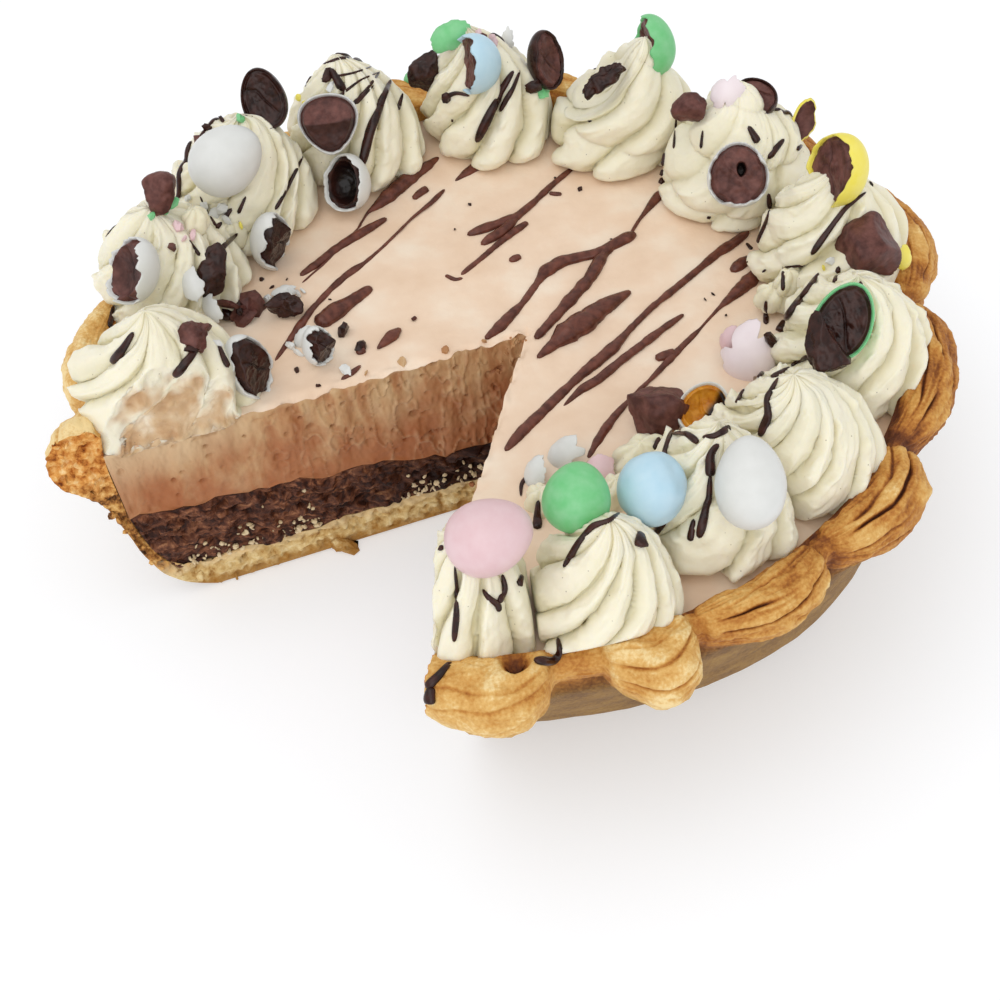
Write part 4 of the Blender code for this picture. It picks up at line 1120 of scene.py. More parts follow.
def mousse_filling():
    """Chocolate mousse: its floor follows the top of the fudge, its wall the case, its top is
    level and softly waved, and both knife faces carry upright drag marks and small holes."""
    turn = turns(MOUSSE_TURNS)
    wall = filling_wall(((BORDER_EDGE, FUDGE_TOP[-1][1]), (MOUSSE_EDGE, MOUSSE_EDGE_FROM),
                         (MOUSSE_EDGE, MOUSSE_TOP)), turn)
    floor = fan(0.0, FLOOR_POINTS, turn, 0.0, wall[:1])
    floor[..., 2] = fudge_height(floor) + GAP
    wall[0] = floor[-1]
    outside = np.concatenate((floor[:-1], wall))
    top = fan(0.0, MOUSSE_TOP_POINTS, turn, MOUSSE_TOP, wall[-1:])
    lift = layered(top * LEVEL, MOUSSE_WAVES)
    rim = smoothstep(1.0, 0.96, np.linspace(0.0, 1.0, MOUSSE_TOP_POINTS))[:, None]
    brink = np.full(top.shape[:2], FAR_AWAY)
    for azimuth, normal in FACES:
        from_point = top - (*SLICE_POINT, 0.0)
        near = np.where(from_point @ polar(azimuth) > -1.0, np.abs(from_point @ normal), FAR_AWAY)
        brink = np.minimum(brink, near)
    ragged = layered(top * LEVEL, MOUSSE_BRINK) - 0.4
    top[..., 2] += (lift + ragged * bell(brink, BRINK_WIDTH)) * rim
    starts, headings = picture_rays([hole[:2] for hole in CUT_HOLES])
    depth = ((*SLICE_POINT, 0.0) - starts) @ FACE_NORMALS[1] / (headings @ FACE_NORMALS[1])
    pricks = list(zip(starts + headings * depth[:, None], [hole[2] for hole in CUT_HOLES]))

    def pricked(points):
        """How deep a point lies in one of the holes of the left cut, 0 to 1."""
        return sum(dent(points, middle, radius) for middle, radius in pricks)

    def ripples(points, seed):
        """Thin upright ripples left by the knife, 0 to 1, in the inner part of the face."""
        inner = smoothstep(*RIPPLES_FADE, np.linalg.norm(points[..., :2], axis=-1))
        return inner * bell(noise(points, (3.0, 3.0, 9.0), 69 + seed, 2), RIPPLE_WIDTH)
    patches = [Patch(outside), Patch(top)]
    for column, normal, low, high in face_outlines(outside, top, MOUSSE_FACE[0]):

        def dragged(points, seed=column):
            """Upright drag marks, ripples, small holes and larger pockets."""
            streak = noise(points, (4.0, 4.0, 12.0), 61 + seed, 2)
            fine = noise(points, (0.9, 0.9, 2.0), 64 + seed, 2)
            holes = np.minimum(0.0, noise(points, 2.6, 67 + seed) + 0.62)
            pockets = np.minimum(0.0, noise(points, (5.0, 5.0, 4.0), 73 + seed) + 0.70)
            relief = 0.6 * streak + 0.2 * fine + 0.6 * ripples(points, seed) + 3.6 * holes + 6.0 * pockets
            return relief - 2.2 * pricked(points) * (seed < 0)

        def creamy(points, seed=column):
            """How pale the face is: most near the rim and the top, paler on the ripples as painted highlight,
            and dark in its holes as painted shade.
            """
            away = np.linalg.norm(points[..., :2], axis=-1) + 5.0 * noise(points, 9.0, 72, 2)
            pale = 0.85 * smoothstep(*PALE_DISTANCE, away) * smoothstep(*PALE_HEIGHT, points[..., 2])
            # Painted highlight: the ripples are made paler
            pale = pale + 0.3 * ripples(points, seed) + 0.3 * smoothstep(*PALE_TOP, points[..., 2])
            return pale - 2.0 * pricked(points) * (seed < 0)
        patches.append(cut_face(low, high, MOUSSE_FACE[1], normal, dragged, 1, creamy))
    return patches


def chocolate_mousse():
    """Set chocolate mousse, spread level: matt, pale pinkish tan, with fine air bubbles."""
    material, tree, shader, place = new_material(
        "spread_chocolate_mousse", 0.5, 1.4, Specular_IOR_Level=0.3)
    cloud = add(tree, "ShaderNodeTexNoise",
                {"Vector": place, "Scale": per_metre(16.0), "Detail": 4.0}).outputs["Fac"]
    colour = add(tree, "ShaderNodeValToRGB", {"Fac": cloud}, (
        (0.3, "#e4c7ac"), (0.5, "#ebd1b8"), (0.7, "#f0dec9"))).outputs["Color"]
    fine = add(tree, "ShaderNodeTexNoise",
               {"Vector": place, "Scale": per_metre(1.4), "Detail": 4.0}).outputs["Fac"]
    dress(tree, shader, colour, fine, 0.25, 0.3)
    return material


def sliced_mousse():
    """The same mousse where the knife dragged through it: browner, streaked upright, rust-brown
    where it meets the fudge, and pricked with holes. Its holes are painted dark as shade and its
    knife ripples painted paler as highlights."""
    material, tree, shader, place = new_material(
        "sliced_chocolate_mousse", 0.5, 1.4, Specular_IOR_Level=0.3)
    stretched = add(tree, "ShaderNodeMapping", {"Vector": place, "Scale": (1.0, 1.0, 0.3)}).outputs[0]
    streak = add(tree, "ShaderNodeTexNoise",
                 {"Vector": stretched, "Scale": per_metre(7.0), "Detail": 5.0, "Roughness": 0.55,
                  "Distortion": 0.6}).outputs["Fac"]
    colour = add(tree, "ShaderNodeValToRGB", {"Fac": streak}, (
        (0.32, "#a06a43"), (0.42, "#b3835a"), (0.54, "#c39d72"), (0.72, "#d0b38c"))).outputs["Color"]
    patch = add(tree, "ShaderNodeTexNoise",
                {"Vector": place, "Scale": per_metre(13.0), "Detail": 5.0, "Roughness": 0.6}).outputs["Fac"]
    low = add(tree, "ShaderNodeSeparateXYZ", {"Vector": place}).outputs["Z"]
    low = add(tree, "ShaderNodeMath", {0: patch, 1: RUST_HEIGHT_SHIFT * MM, 2: low},
              operation="MULTIPLY_ADD").outputs[0]
    low = add(tree, "ShaderNodeMapRange",
              {"Value": low, "From Min": RUST_HEIGHT[0] * MM, "From Max": RUST_HEIGHT[1] * MM,
               "To Min": 0.85, "To Max": 0.0}).outputs[0]
    flat = add(tree, "ShaderNodeVectorMath", {0: place, 1: (1.0, 1.0, 0.0)}, operation="MULTIPLY")
    away = add(tree, "ShaderNodeVectorMath", {0: flat.outputs["Vector"]}, operation="LENGTH").outputs["Value"]
    away = add(tree, "ShaderNodeMath", {0: patch, 1: RUST_DISTANCE_SHIFT * MM, 2: away},
               operation="MULTIPLY_ADD").outputs[0]
    stain = add(tree, "ShaderNodeMapRange",
                {"Value": away, "From Min": RUST_DISTANCE[0] * MM, "From Max": RUST_DISTANCE[1] * MM,
                 "To Max": 0.65}).outputs[0]
    low = add(tree, "ShaderNodeMath", {0: low, 1: stain}, operation="MAXIMUM").outputs[0]
    rust = add(tree, "ShaderNodeMix", {"Factor": low, "A": colour, "B": "#a0603a"},
               data_type="RGBA")
    tone = add(tree, "ShaderNodeAttribute", attribute_name="tone").outputs["Fac"]
    mixed = add(tree, "ShaderNodeMix", {
        "Factor": tone, "A": rust.outputs["Result"], "B": "#d0b28c"}, data_type="RGBA")
    # Painted shade: the face turns dark brown in its holes
    hole = add(tree, "ShaderNodeMapRange", {
        "Value": tone, "From Min": -0.2, "From Max": -1.0, "To Min": 0.0, "To Max": 0.9}).outputs[0]
    mixed = add(tree, "ShaderNodeMix", {
        "Factor": hole, "A": mixed.outputs["Result"], "B": "#3b2012"}, data_type="RGBA")
    dress(tree, shader, mixed.outputs["Result"], streak, 0.4, 0.5)
    return material


# Strands: streaks and drizzle

def strand(points, normals, widths, height=0.42, sides=10):
    """A rounded strand along a path: at each point an oval, width across the path and a share of
    that high along the surface normal, with its middle a little above the surface."""
    ahead = unit(np.gradient(points, axis=0))
    side = unit(np.cross(ahead, normals))
    turn = full_turn(sides)[0]
    widths = np.asarray(widths)[:, None, None]
    oval = side[:, None] * np.cos(turn)[:, None] * 0.5 + normals[:, None] * np.sin(turn)[:, None] * height
    return Patch(points[:, None] + widths * oval, wrap=True)


def tapered(count, blunt=0.35):
    """Widths along a strand: full in the middle, closing to nothing at both rounded ends."""
    share = np.linspace(-1.0, 1.0, count)
    return np.clip(1.0 - np.abs(share) ** (1.0 / blunt), 0.0, 1.0) ** (0.35 + 0.5 * blunt)


def streak_line(view_points):
    """A streak's points in the photograph's picture, rounded to whole pixels, with the width there
    rounded to a tenth of a millimetre."""
    left, top = STREAK_CORNER
    return [(round(u / STREAK_ENLARGED + left), round(v / STREAK_ENLARGED + top),
             round(width / STREAK_PIXELS_PER_MM, 1)) for u, v, width in view_points]


def mousse_streaks(settings):
    """Streaks of chocolate on the mousse: lines of the picture carried to the level of the mousse,
    softened, rounded at both ends, their width wavering where the chocolate ran."""
    patches = []
    for row, view_points in enumerate(STREAKS):
        line = streak_line(view_points)
        length = np.sum(np.hypot(*np.diff(np.array(line)[:, :2], axis=0).T))
        chain = resampled(line, max(12, int(length / STREAK_STEP)), 3)
        starts, headings = picture_rays(chain[:, :2])
        level = MOUSSE_TOP + 0.2
        points = starts + headings * ((level - starts[:, 2:]) / headings[:, 2:])
        swell = 1.0 + 0.16 * noise(points, 2.6, row + 40, 2)
        widths = settings.width_scale * chain[:, 2] * swell * tapered(len(points), 0.10)
        patches.append(strand(points, np.tile((0.0, 0.0, 1.0), (len(points), 1)), widths, 0.40, 14))
    return patches


def melted_chocolate(name, dark, light, roughness):
    """Couverture, melted and drizzled, then set: smooth, dark and shining where it is thick, and
    redder where it lies thin on the mousse."""
    material, tree, shader, place = new_material(name, roughness, 1.48, Specular_IOR_Level=0.35)
    cloud = add(tree, "ShaderNodeTexNoise",
                {"Vector": place, "Scale": per_metre(2.5), "Detail": 3.0}).outputs["Fac"]
    colour = add(tree, "ShaderNodeValToRGB", {"Fac": cloud}, (
        (0.35, dark), (0.7, light))).outputs["Color"]
    dress(tree, shader, colour, cloud, 0.3, 0.2)
    return material


def camera_axes():
    """Where the photograph was taken from, and its right, up and forward directions."""
    lift, roll = np.radians(CAMERA_ELEVATION), np.radians(CAMERA_ROLL)
    target = np.array(CAMERA_TARGET)
    eye = target + CAMERA_DISTANCE * np.array((0.0, -np.cos(lift), np.sin(lift)))
    forward = (target - eye) / CAMERA_DISTANCE
    level = np.array((1.0, 0.0, 0.0))
    above = np.cross(level, forward)
    right = np.cos(roll) * level + np.sin(roll) * above
    up = -np.sin(roll) * level + np.cos(roll) * above
    return eye, right, up, forward


def first_hits(trees, starts, headings):
    """Where rays first meet the pieces, in millimetres, with the surface normal; None if missed."""
    hits = []
    for start, heading in zip(starts * MM, headings):
        best = None
        for tree in trees:
            spot, normal, _, distance = tree.ray_cast(Vector(start), Vector(heading))
            if spot is not None and (best is None or distance < best[2]):
                best = (np.array(spot) / MM, np.array(normal), distance)
        hits.append(best)
    return hits


def runs(hits, jump=6.0):
    """Splits a line of hits into runs, wherever one is missed or the next is a jump away."""
    run = []
    for hit in hits:
        if hit is None or (run and np.linalg.norm(hit[0] - run[-1][0]) > jump):
            if len(run) > 4:
                yield run
            run = []
        if hit is not None:
            run.append(hit)
    if len(run) > 4:
        yield run


def carriers(*names):
    """What a scattered piece may lie on, as trees to cast rays at."""
    graph = bpy.context.evaluated_depsgraph_get()
    return [BVHTree.FromObject(item, graph) for item in bpy.data.objects if item.name.startswith(names)]


def picture_rays(spots):
    """The photograph's viewpoint and the directions through points of its picture."""
    eye, right, up, forward = camera_axes()
    offset = (np.asarray(spots, float) - PICTURE_WIDTH / 2.0) / CAMERA_FOCAL
    headings = unit(forward + offset[:, :1] * right - offset[:, 1:] * up)
    return np.tile(eye, (len(offset), 1)), headings


def drizzle_lines(settings):
    """Strands of chocolate over cream and rim. Each line of the picture is carried along the
    camera's rays, each line in plan straight down, to the first surface it meets, and broken
    where that surface falls away."""
    trees = carriers(*CARRIERS)
    lines = []
    for width, *corners in DRIZZLE:
        length = np.sum(np.hypot(*np.diff(corners, axis=0).T))
        count = max(8, int(length / DRIZZLE_STEP))
        lines.append((width, *picture_rays(resampled(corners, count, 3))))
    for width, x0, y0, x1, y1 in FLANK_DRIZZLE:
        line = np.linspace((x0, y0, FLANK_START), (x1, y1, FLANK_START), FLANK_POINTS)
        waver = FLANK_WAVER * np.sin(np.linspace(0.0, 5.0, FLANK_POINTS))
        line[:, :2] += waver[:, None] * (1.0, -1.0)
        lines.append((width, line, np.tile((0.0, 0.0, -1.0), (FLANK_POINTS, 1))))
    patches = []
    for row, (width, starts, headings) in enumerate(lines):
        for run in runs(first_hits(trees, starts, headings)):
            points = smoothed(np.array([hit[0] for hit in run]), 6)
            normals = unit(smoothed(np.array([hit[1] for hit in run]), 14))
            points = points + 0.12 * width * normals
            swell = 1.0 + 0.16 * noise(points + row * 31.0, 7.0, row, 1)
            widths = settings.width_scale * width * swell * tapered(len(run), 0.2)
            widths = widths * np.linspace(0.6, 1.15, len(run))
            patches.append(strand(points, normals, widths, 0.36, 12))
    return patches


# Cream

def softly(over, width):
    """Zero where negative, itself where large, with a rounded turn of this width between."""
    return width * np.logaddexp(0.0, over / width)


def inner_wall_radius(height):
    """Distance from the axis to the inside of the case at a height."""
    radius, level = zip(*((row[0], row[1]) for row in INNER_ROWS[:4]))
    return np.interp(height, level, radius)


def pressed(points, index):
    """A swirl's points, flattened where they would pass a neighbour's border or the wall."""
    row = SWIRLS[index]
    for other, sign in ((SWIRLS[index - 1], -1.0), (SWIRLS[(index + 1) % len(SWIRLS)], 1.0)):
        apart = (other.place - row.place) * sign % 360.0
        if apart > NEIGHBOUR_WITHIN:
            continue
        middle = row.place + sign * apart * row.foot / (row.foot + other.foot)
        limit = polar(middle + 90.0) * sign
        points = points - limit * softly(points @ limit + NEIGHBOUR_GAP, NEIGHBOUR_TURN)[..., None]
    wall = inner_wall_radius(points[..., 2]) - GAP + SWELL * np.maximum(0.0, points[..., 2] - SWELL_HEIGHT)
    flat = np.linalg.norm(points[..., :2], axis=-1)
    points[..., :2] *= ((flat - softly(flat - wall, WALL_TURN)) / flat)[..., None]
    return points


def sliced_swirl(points, tone, normal, index):
    """A swirl's points and tone where the knife went through: brought back to the cut, a little
    rough, slumped at the foot, and below 0 in tone, towards -1 where it is stained most."""
    over = (points - (*SLICE_POINT, 0.0)) @ normal
    cut = np.maximum(0.0, over)
    relief = 0.9 * noise(points, (3.0, 3.0, 6.0), 80 + index, 3) * smoothstep(0.0, 1.5, over)
    points = points - normal * (cut + relief * (over > 0.0))[..., None]
    low = np.exp(-np.maximum(0.0, points[..., 2] - MOUSSE_TOP) / SLUMP_FADE) * smoothstep(0.0, 3.0, over)
    points[..., 2] -= low * (SLUMP + SLUMP_VARIES * noise(points, 5.0, 85))
    points = points + normal * (SLUMP_BULGE * low)[..., None]
    stained = over + 3.5 * noise(points, 5.0, 86, 2) + 6.0 * low
    return points, np.where(over > 0.0, -0.5 - 0.5 * smoothstep(0.5, 6.5, stained), tone)


def piped_swirl(index, settings):
    """A swirl of piped cream. Round it, the reach is foot * profile(rise) less a groove between
    the ridges; each ridge leans over the next, |sin(pi * share ** skew)| ** round across its width.
    Up it, the ridges wind by twist * rise ** WINDING and the rope steps in at each coil. Tears run
    beside the ridges' edges, less so at the tip. A swirl is flattened where it meets a neighbour,
    the wall or the slice, and has a broad foot and a stained, slumped face where it is sliced."""
    row = SWIRLS[index]
    draw = np.random.default_rng(index + 1)
    count = row.ridges * RIDGE_POINTS
    profile = resampled([(r * row.foot, z * row.height) for r, z in SWIRL_PROFILE],
                        SWIRL_POINTS, 4)
    radius, rise = profile[:, :1] / row.foot, profile[:, 1:] / row.height
    if index in (0, len(SWIRLS) - 1):
        radius = radius + (1.0 - radius) * smoothstep(0.6, 0.75, radius) * smoothstep(0.13, 0.05, rise)
    turn = full_turn(count)
    at = turn / (2.0 * np.pi) * row.ridges
    edges = np.concatenate(((0.0,), np.cumsum(draw.uniform(0.65, 1.35, row.ridges))))
    at = np.interp(at, edges / edges[-1] * row.ridges, np.arange(row.ridges + 1))

    def each(low, high, shift=0.5):
        """A value drawn for every ridge, blended round the swirl."""
        return np.interp(at, np.arange(row.ridges) + shift, draw.uniform(low, high, row.ridges),
                         period=row.ridges)
    crest = each(0.93, 1.07)
    ring = np.stack(np.broadcast_arrays(12.0 * np.cos(turn), 12.0 * np.sin(turn), 30.0 * rise), -1)
    phase = at + 0.34 * noise(ring, 13.0, index, 2) * smoothstep(0.02, 0.2, rise)
    part = phase % 1.0
    ridge = np.abs(np.sin(np.pi * part ** RIDGE_SKEW)) ** RIDGE_ROUND
    depth = row.groove * settings.groove * each(0.7, 1.35, 0.0) * smoothstep(-0.05, 0.06, rise)
    depth = depth * (1.0 + 0.3 * rise) * (1.0 - 0.6 * smoothstep(0.65, 0.98, rise))
    coil = rise * row.coils + turn / (2.0 * np.pi) if row.coils else np.full_like(turn, 0.5)
    fold = 1.0 - np.abs(np.sin(np.pi * (coil % 1.0) ** COIL_SKEW)) ** COIL_ROUND
    shape = 1.0 - depth * (1.0 - ridge) - row.step * fold * smoothstep(0.0, 0.1, rise)
    foot = bell(rise, 0.12, 0.05)
    lobe = 0.10 * (ridge - 0.55) * foot + each(-0.05, 0.07) * foot
    reach = row.foot * radius * (shape + lobe) * crest
    angle = turn + np.radians(row.twist) * rise ** WINDING + np.radians(row.phase)
    outward, along = polar(row.place), polar(row.place + 90.0)
    centre = outward * row.distance + np.array((0.0, 0.0, MOUSSE_TOP + GAP))
    points = (centre + outward * (reach * np.cos(angle))[..., None]
              + along * (reach * np.sin(angle) + row.lean * rise ** 2)[..., None])
    points[..., 2] += row.height * rise * (1.0 - 0.02 * fold)
    wind = np.stack(np.broadcast_arrays(phase * 7.0, rise * 30.0, index * 20.0), -1)
    rough = 0.36 * noise(wind, (1.5, 10.0, 1.0), 60 + index, 2)
    torn = np.minimum(0.0, noise(wind, (1.3, 2.0, 1.0), 70 + index, 2) - 0.05)
    edge = sum(strength * bell(part, width, middle) for middle, width, strength in TEARS)
    rough = rough + TEAR_DEPTH * row.rough * torn * edge * smoothstep(0.97, 0.75, rise)
    rough = rough + 0.9 * row.rough * noise(points, 8.0, 90 + index, 2)
    rough = rough + 0.15 * noise(points, 2.0, 95 + index, 2)
    fade = smoothstep(0.0, 0.05, radius) * smoothstep(0.0, 0.03, rise)
    points = points + surface_normals(points, True) * (rough * fade)[..., None]
    for middle, size, push in HOLLOWS.get(index + 1, ()):
        away = (points - middle) / size
        points = points + np.exp(-np.sum(away * away, -1) ** 1.5)[..., None] * np.array(push)
    points = pressed(points, index)
    # The tone paints shade into the grooves between the ridges
    tone = 0.4 * (1.0 - ridge) * smoothstep(0.0, 0.15, depth) * np.ones(points.shape[:2])
    for normal, swirl in zip(FACE_NORMALS, (0, len(SWIRLS) - 1)):
        if index == swirl:
            points, tone = sliced_swirl(points, tone, normal, index)
    return [Patch(points, wrap=True, tone=tone)]


def cream_dab(foot, long, wide, high, turned, seed):
    """A dab of cream pushed off a swirl: half a ball, long by wide by high, set down at its foot;
    its reach is waved by a few folds that lean round it and torn by two sizes of noise."""
    turn = full_turn(DAB_POINTS[0])
    dip = np.linspace(0.0, 0.62 * np.pi, DAB_POINTS[1])[:, None]
    x, y, z = sphere(dip, turn)
    fold = np.abs(np.sin(2.5 * turn + 1.6 * dip + seed))
    reach = 0.84 + 0.26 * fold ** 0.6 * np.sin(dip)
    ball = np.stack((x * 0.5 * long * reach, y * 0.5 * wide * reach,
                     z * high * (0.9 + 0.2 * fold * np.sin(dip))), -1)
    heading = unit(ball / (long, wide, high))
    rough = layered(ball, DAB_LUMPS, seed) * wide / 12.0
    ball = ball + heading * (rough * smoothstep(0.0, 0.1, dip / np.pi))[..., None]
    ball = np.concatenate((ball, np.tile(ball[-1:].mean(1, keepdims=True), (1, DAB_POINTS[0], 1))))
    along = polar(turned)
    aside = polar(turned + 90.0)
    points = foot + ball[..., :1] * along + ball[..., 1:2] * aside + ball[..., 2:] * (0.0, 0.0, 1.0)
    # A tone of 0.12 gives the whole dab a little of the cream's painted groove shade
    return [Patch(points, wrap=True, tone=0.12)]


def whipped_cream(settings):
    """Whipped cream with ground vanilla, piped through a star: smooth, satin and translucent,
    ivory with a faint green-yellow cast, peppered with fine dark seeds; beige where it is cut.
    Its grooves are painted darker and greener as shade."""
    material, tree, shader, place = new_material(
        "whipped_vanilla_cream", 0.42, 1.45, Specular_IOR_Level=0.35, Subsurface_Weight=0.3,
        Subsurface_Radius=(0.0032, 0.0028, 0.0018), Subsurface_Scale=1.0)
    cloud = add(tree, "ShaderNodeTexNoise",
                {"Vector": place, "Scale": per_metre(12.0), "Detail": 3.0}).outputs["Fac"]
    colour = add(tree, "ShaderNodeMix", {
        "Factor": cloud, "A": "#e8e2c8", "B": (*settings.cream, 1.0)}, data_type="RGBA")
    tone = add(tree, "ShaderNodeAttribute", attribute_name="tone").outputs["Fac"]
    # Painted shade: where the tone marks a groove, the cream turns darker and greener
    groove = add(tree, "ShaderNodeMapRange", {"Value": tone, "From Min": 0.02, "From Max": 0.45}).outputs[0]
    colour = add(tree, "ShaderNodeMix", {
        "Factor": groove, "A": colour.outputs["Result"], "B": "#ccc296"}, data_type="RGBA")
    marble = add(tree, "ShaderNodeTexNoise",
                 {"Vector": place, "Scale": per_metre(8.0), "Detail": 5.0, "Distortion": 0.4}).outputs["Fac"]
    sliced = add(tree, "ShaderNodeValToRGB", {"Fac": marble}, (
        (0.32, "#bd946a"), (0.44, "#cdab83"), (0.56, "#d9bf9c"), (0.70, "#efe2cb"))).outputs["Color"]
    cut = add(tree, "ShaderNodeMapRange", {"Value": tone, "From Min": -0.5, "From Max": -0.95}).outputs[0]
    colour = add(tree, "ShaderNodeMix",
                 {"Factor": cut, "A": colour.outputs["Result"], "B": sliced}, data_type="RGBA")
    seeds = add(tree, "ShaderNodeTexVoronoi", {"Vector": place, "Scale": per_metre(3.2)}).outputs["Distance"]
    seeds = add(tree, "ShaderNodeMapRange", {
        "Value": seeds, "From Min": 0.04, "From Max": 0.07, "To Min": 0.55, "To Max": 0.0}).outputs[0]
    colour = add(tree, "ShaderNodeMix", {
        "Factor": seeds, "A": colour.outputs["Result"], "B": "#6b5138"}, data_type="RGBA")
    fine = add(tree, "ShaderNodeTexNoise",
               {"Vector": place, "Scale": per_metre(2.4), "Detail": 5.0, "Roughness": 0.6}).outputs["Fac"]
    dress(tree, shader, colour.outputs["Result"], fine, 0.55, 0.5)
    return material


# Toppings

def topping_frame(row):
    """Columns are the piece's own X, its long side Y, and the way it faces Z."""
    facing = polar(row.facing, np.cos(np.radians(row.tilt)), np.sin(np.radians(row.tilt)))
    up = unit(np.array((0.0, 0.0, 1.0)) - facing * facing[2])
    right = np.cross(up, facing)
    spin = np.radians(row.spin)
    long_side = up * np.cos(spin) + right * np.sin(spin)
    return np.stack((np.cross(long_side, facing), long_side, facing), -1)


def put(row, points):
    """A topping's points turned the way it faces and moved to its place."""
    return points @ topping_frame(row).T + (row.x, row.y, row.z)


def egg_surface(row, toward, turn, inset=0.0):
    """Egg with its long side along Y: toward runs from the face, 0, to the back, 1, and turn round
    it. A sphere is stretched to the egg's sizes and narrowed towards its long end."""
    dip = toward * np.pi
    x, y, z = sphere(dip, turn)
    taper = 1.0 - EGG_TAPER * y
    wide, long = row.wide / 2.0 - inset, row.long / 2.0 - inset
    return np.stack((x * taper * wide, y * long, z * taper * wide), -1)


def whole_egg(row, seed, look):
    """A whole candy egg, a touch uneven under its sugar shell, or chipped and pointed."""
    turn = full_turn(EGG_POINTS[0])
    toward = np.linspace(0.0, 1.0, EGG_POINTS[1])[:, None]
    points = egg_surface(row, toward, turn)
    points[..., ::2] *= 1.0 + look.get("point", 0.0) * points[..., 1:2] / row.long * 2.0
    points = points * (1.0 + 0.012 * noise(points, 6.0, seed, 2))[..., None]
    chips = np.minimum(0.0, noise(points, 6.0, seed + 2, 2) + 0.1)
    points = points * (1.0 + look.get("ragged", 0.0) * 0.16 * chips)[..., None]
    return [Patch(put(row, points), wrap=True)]


def torn(turn, seed, size, depth):
    """Height of a broken edge round the shell: a ragged line of teeth, in millimetres."""
    ring = np.stack((np.cos(turn) * 10.0, np.sin(turn) * 10.0, np.zeros_like(turn)), -1)
    return depth * noise(ring, size, seed, 3)


def half_egg(row, seed, shell, look):
    """A broken egg: a thin sugar shell up to a ragged edge, and chocolate inside it whose face is
    cracked and a little sunk, hollowed out by a bowl, pierced by a hole, or broken to a ridge."""
    turn = full_turn(HALF_POINTS[0])
    edge = HALF_CUT * row.wide + torn(turn, seed, 3.5, look.get("ragged", 0.8))
    level = 2.0 * edge / row.wide
    stop = np.arccos(np.clip(level, -0.95, 0.95)) / np.pi
    share = np.linspace(0.0, 1.0, HALF_POINTS[1])[:, None]
    outer = egg_surface(row, 1.0 + (stop - 1.0) * share, turn)
    inner = egg_surface(row, np.clip(stop + 0.035, 0.0, 1.0), turn, shell)
    lip = 0.5 * (outer[-1:] + inner) + np.array((0.0, 0.0, 0.12))
    ring = egg_surface(row, np.clip(stop + 0.05, 0.0, 1.0), turn, shell + 0.05)
    inward = np.linspace(1.0, 0.0, HALF_POINTS[2])[1:, None]
    level_face = HALF_CUT * row.wide - 0.5
    face = ring * inward[..., None]
    near_edge = smoothstep(0.84, 1.0, inward)
    face[..., 2] = level_face + (ring[..., 2] - level_face) * near_edge
    along = face[..., 1] / row.long * 2.0 + 0.10 * noise(face, 5.0, seed + 8)
    crest = look.get("crest", 0.2)
    roof = look.get("ridge", 0.0) * (1.0 - 1.05 * np.abs(along - crest)).clip(0.0)
    crumbly = layered(face, BROKEN_FACE, seed)
    crack = bell(face[..., 0] * 0.6 + face[..., 1] * 0.5 + noise(face, 4.0, seed + 9), 0.25)
    bowl = look.get("hollow", 0.5) * (1.0 - (inward / 0.85) ** 2).clip(0.0) ** 0.6
    spread = (face[..., :2] - HOLE_MIDDLE) / HOLE_SIZE
    waver = 0.35 * noise(face[..., :1] * (1.0, 0.3, 0.0), 1.5, seed)[..., None]
    spot = np.linalg.norm(spread + waver, axis=-1)
    hole = look.get("hole", 0.0) * smoothstep(1.8, 0.9, spot)
    face[..., 2] += (crumbly + roof - look.get("crack", 0.5) * crack) * (1.0 - near_edge) - bowl - hole
    shell_rows = np.concatenate((outer, lip, inner, ring))
    filling = np.concatenate((ring, face))
    # The tone paints shade into the bowl, the hole and the crack of the face
    tone = smoothstep(0.0, 1.0, (bowl + 2.0 * hole) / 4.5) + 0.5 * look.get("crack", 0.5) * crack
    tone = tone + look.get("split", 0.0) * smoothstep(crest - 0.06, crest + 0.06, along)
    if look.get("chocolate") == "amber":
        tone = smoothstep(0.0, 0.14, face[..., 0] / row.wide + 0.04 * noise(face, 3.0, seed))
    tone = np.concatenate((np.zeros_like(turn), tone))
    for points in (shell_rows, filling):
        points[..., 0] *= 1.0 - look.get("point", 0.0) * points[..., 1] / row.long * 2.0
    return [Patch(put(row, shell_rows), wrap=True), Patch(put(row, filling), wrap=True, finish=1, tone=tone)]


def shell_piece(row, seed, wall, look):
    """A curved scrap of sugar shell: the cap of an egg out to a ragged line, with an inner skin
    one wall behind it, coated with a smear of chocolate."""
    turn = full_turn(SHELL_POINTS[0])
    stop = np.arccos(2.0 * SHELL_CUT) / np.pi
    stop = stop * (1.0 + torn(turn, seed, 5.0, look.get("ragged", 0.24)))
    share = np.linspace(0.0, 1.0, SHELL_POINTS[1])[:, None]
    outer = egg_surface(row, stop * share, turn)
    inner = egg_surface(row, stop * share[::-1] * 0.985, turn, wall)
    bend = 0.25 * noise(outer, 5.0, seed + 3, 2)[..., None] * np.array((0.0, 0.0, 1.0))
    drop = np.array((0.0, 0.0, -0.4 * row.wide))
    outer, inner = outer + bend + drop, inner + bend[::-1] + drop
    outside = np.concatenate((outer, inner[:1]))
    return [Patch(put(row, outside), wrap=True), Patch(put(row, inner), wrap=True, finish=1)]


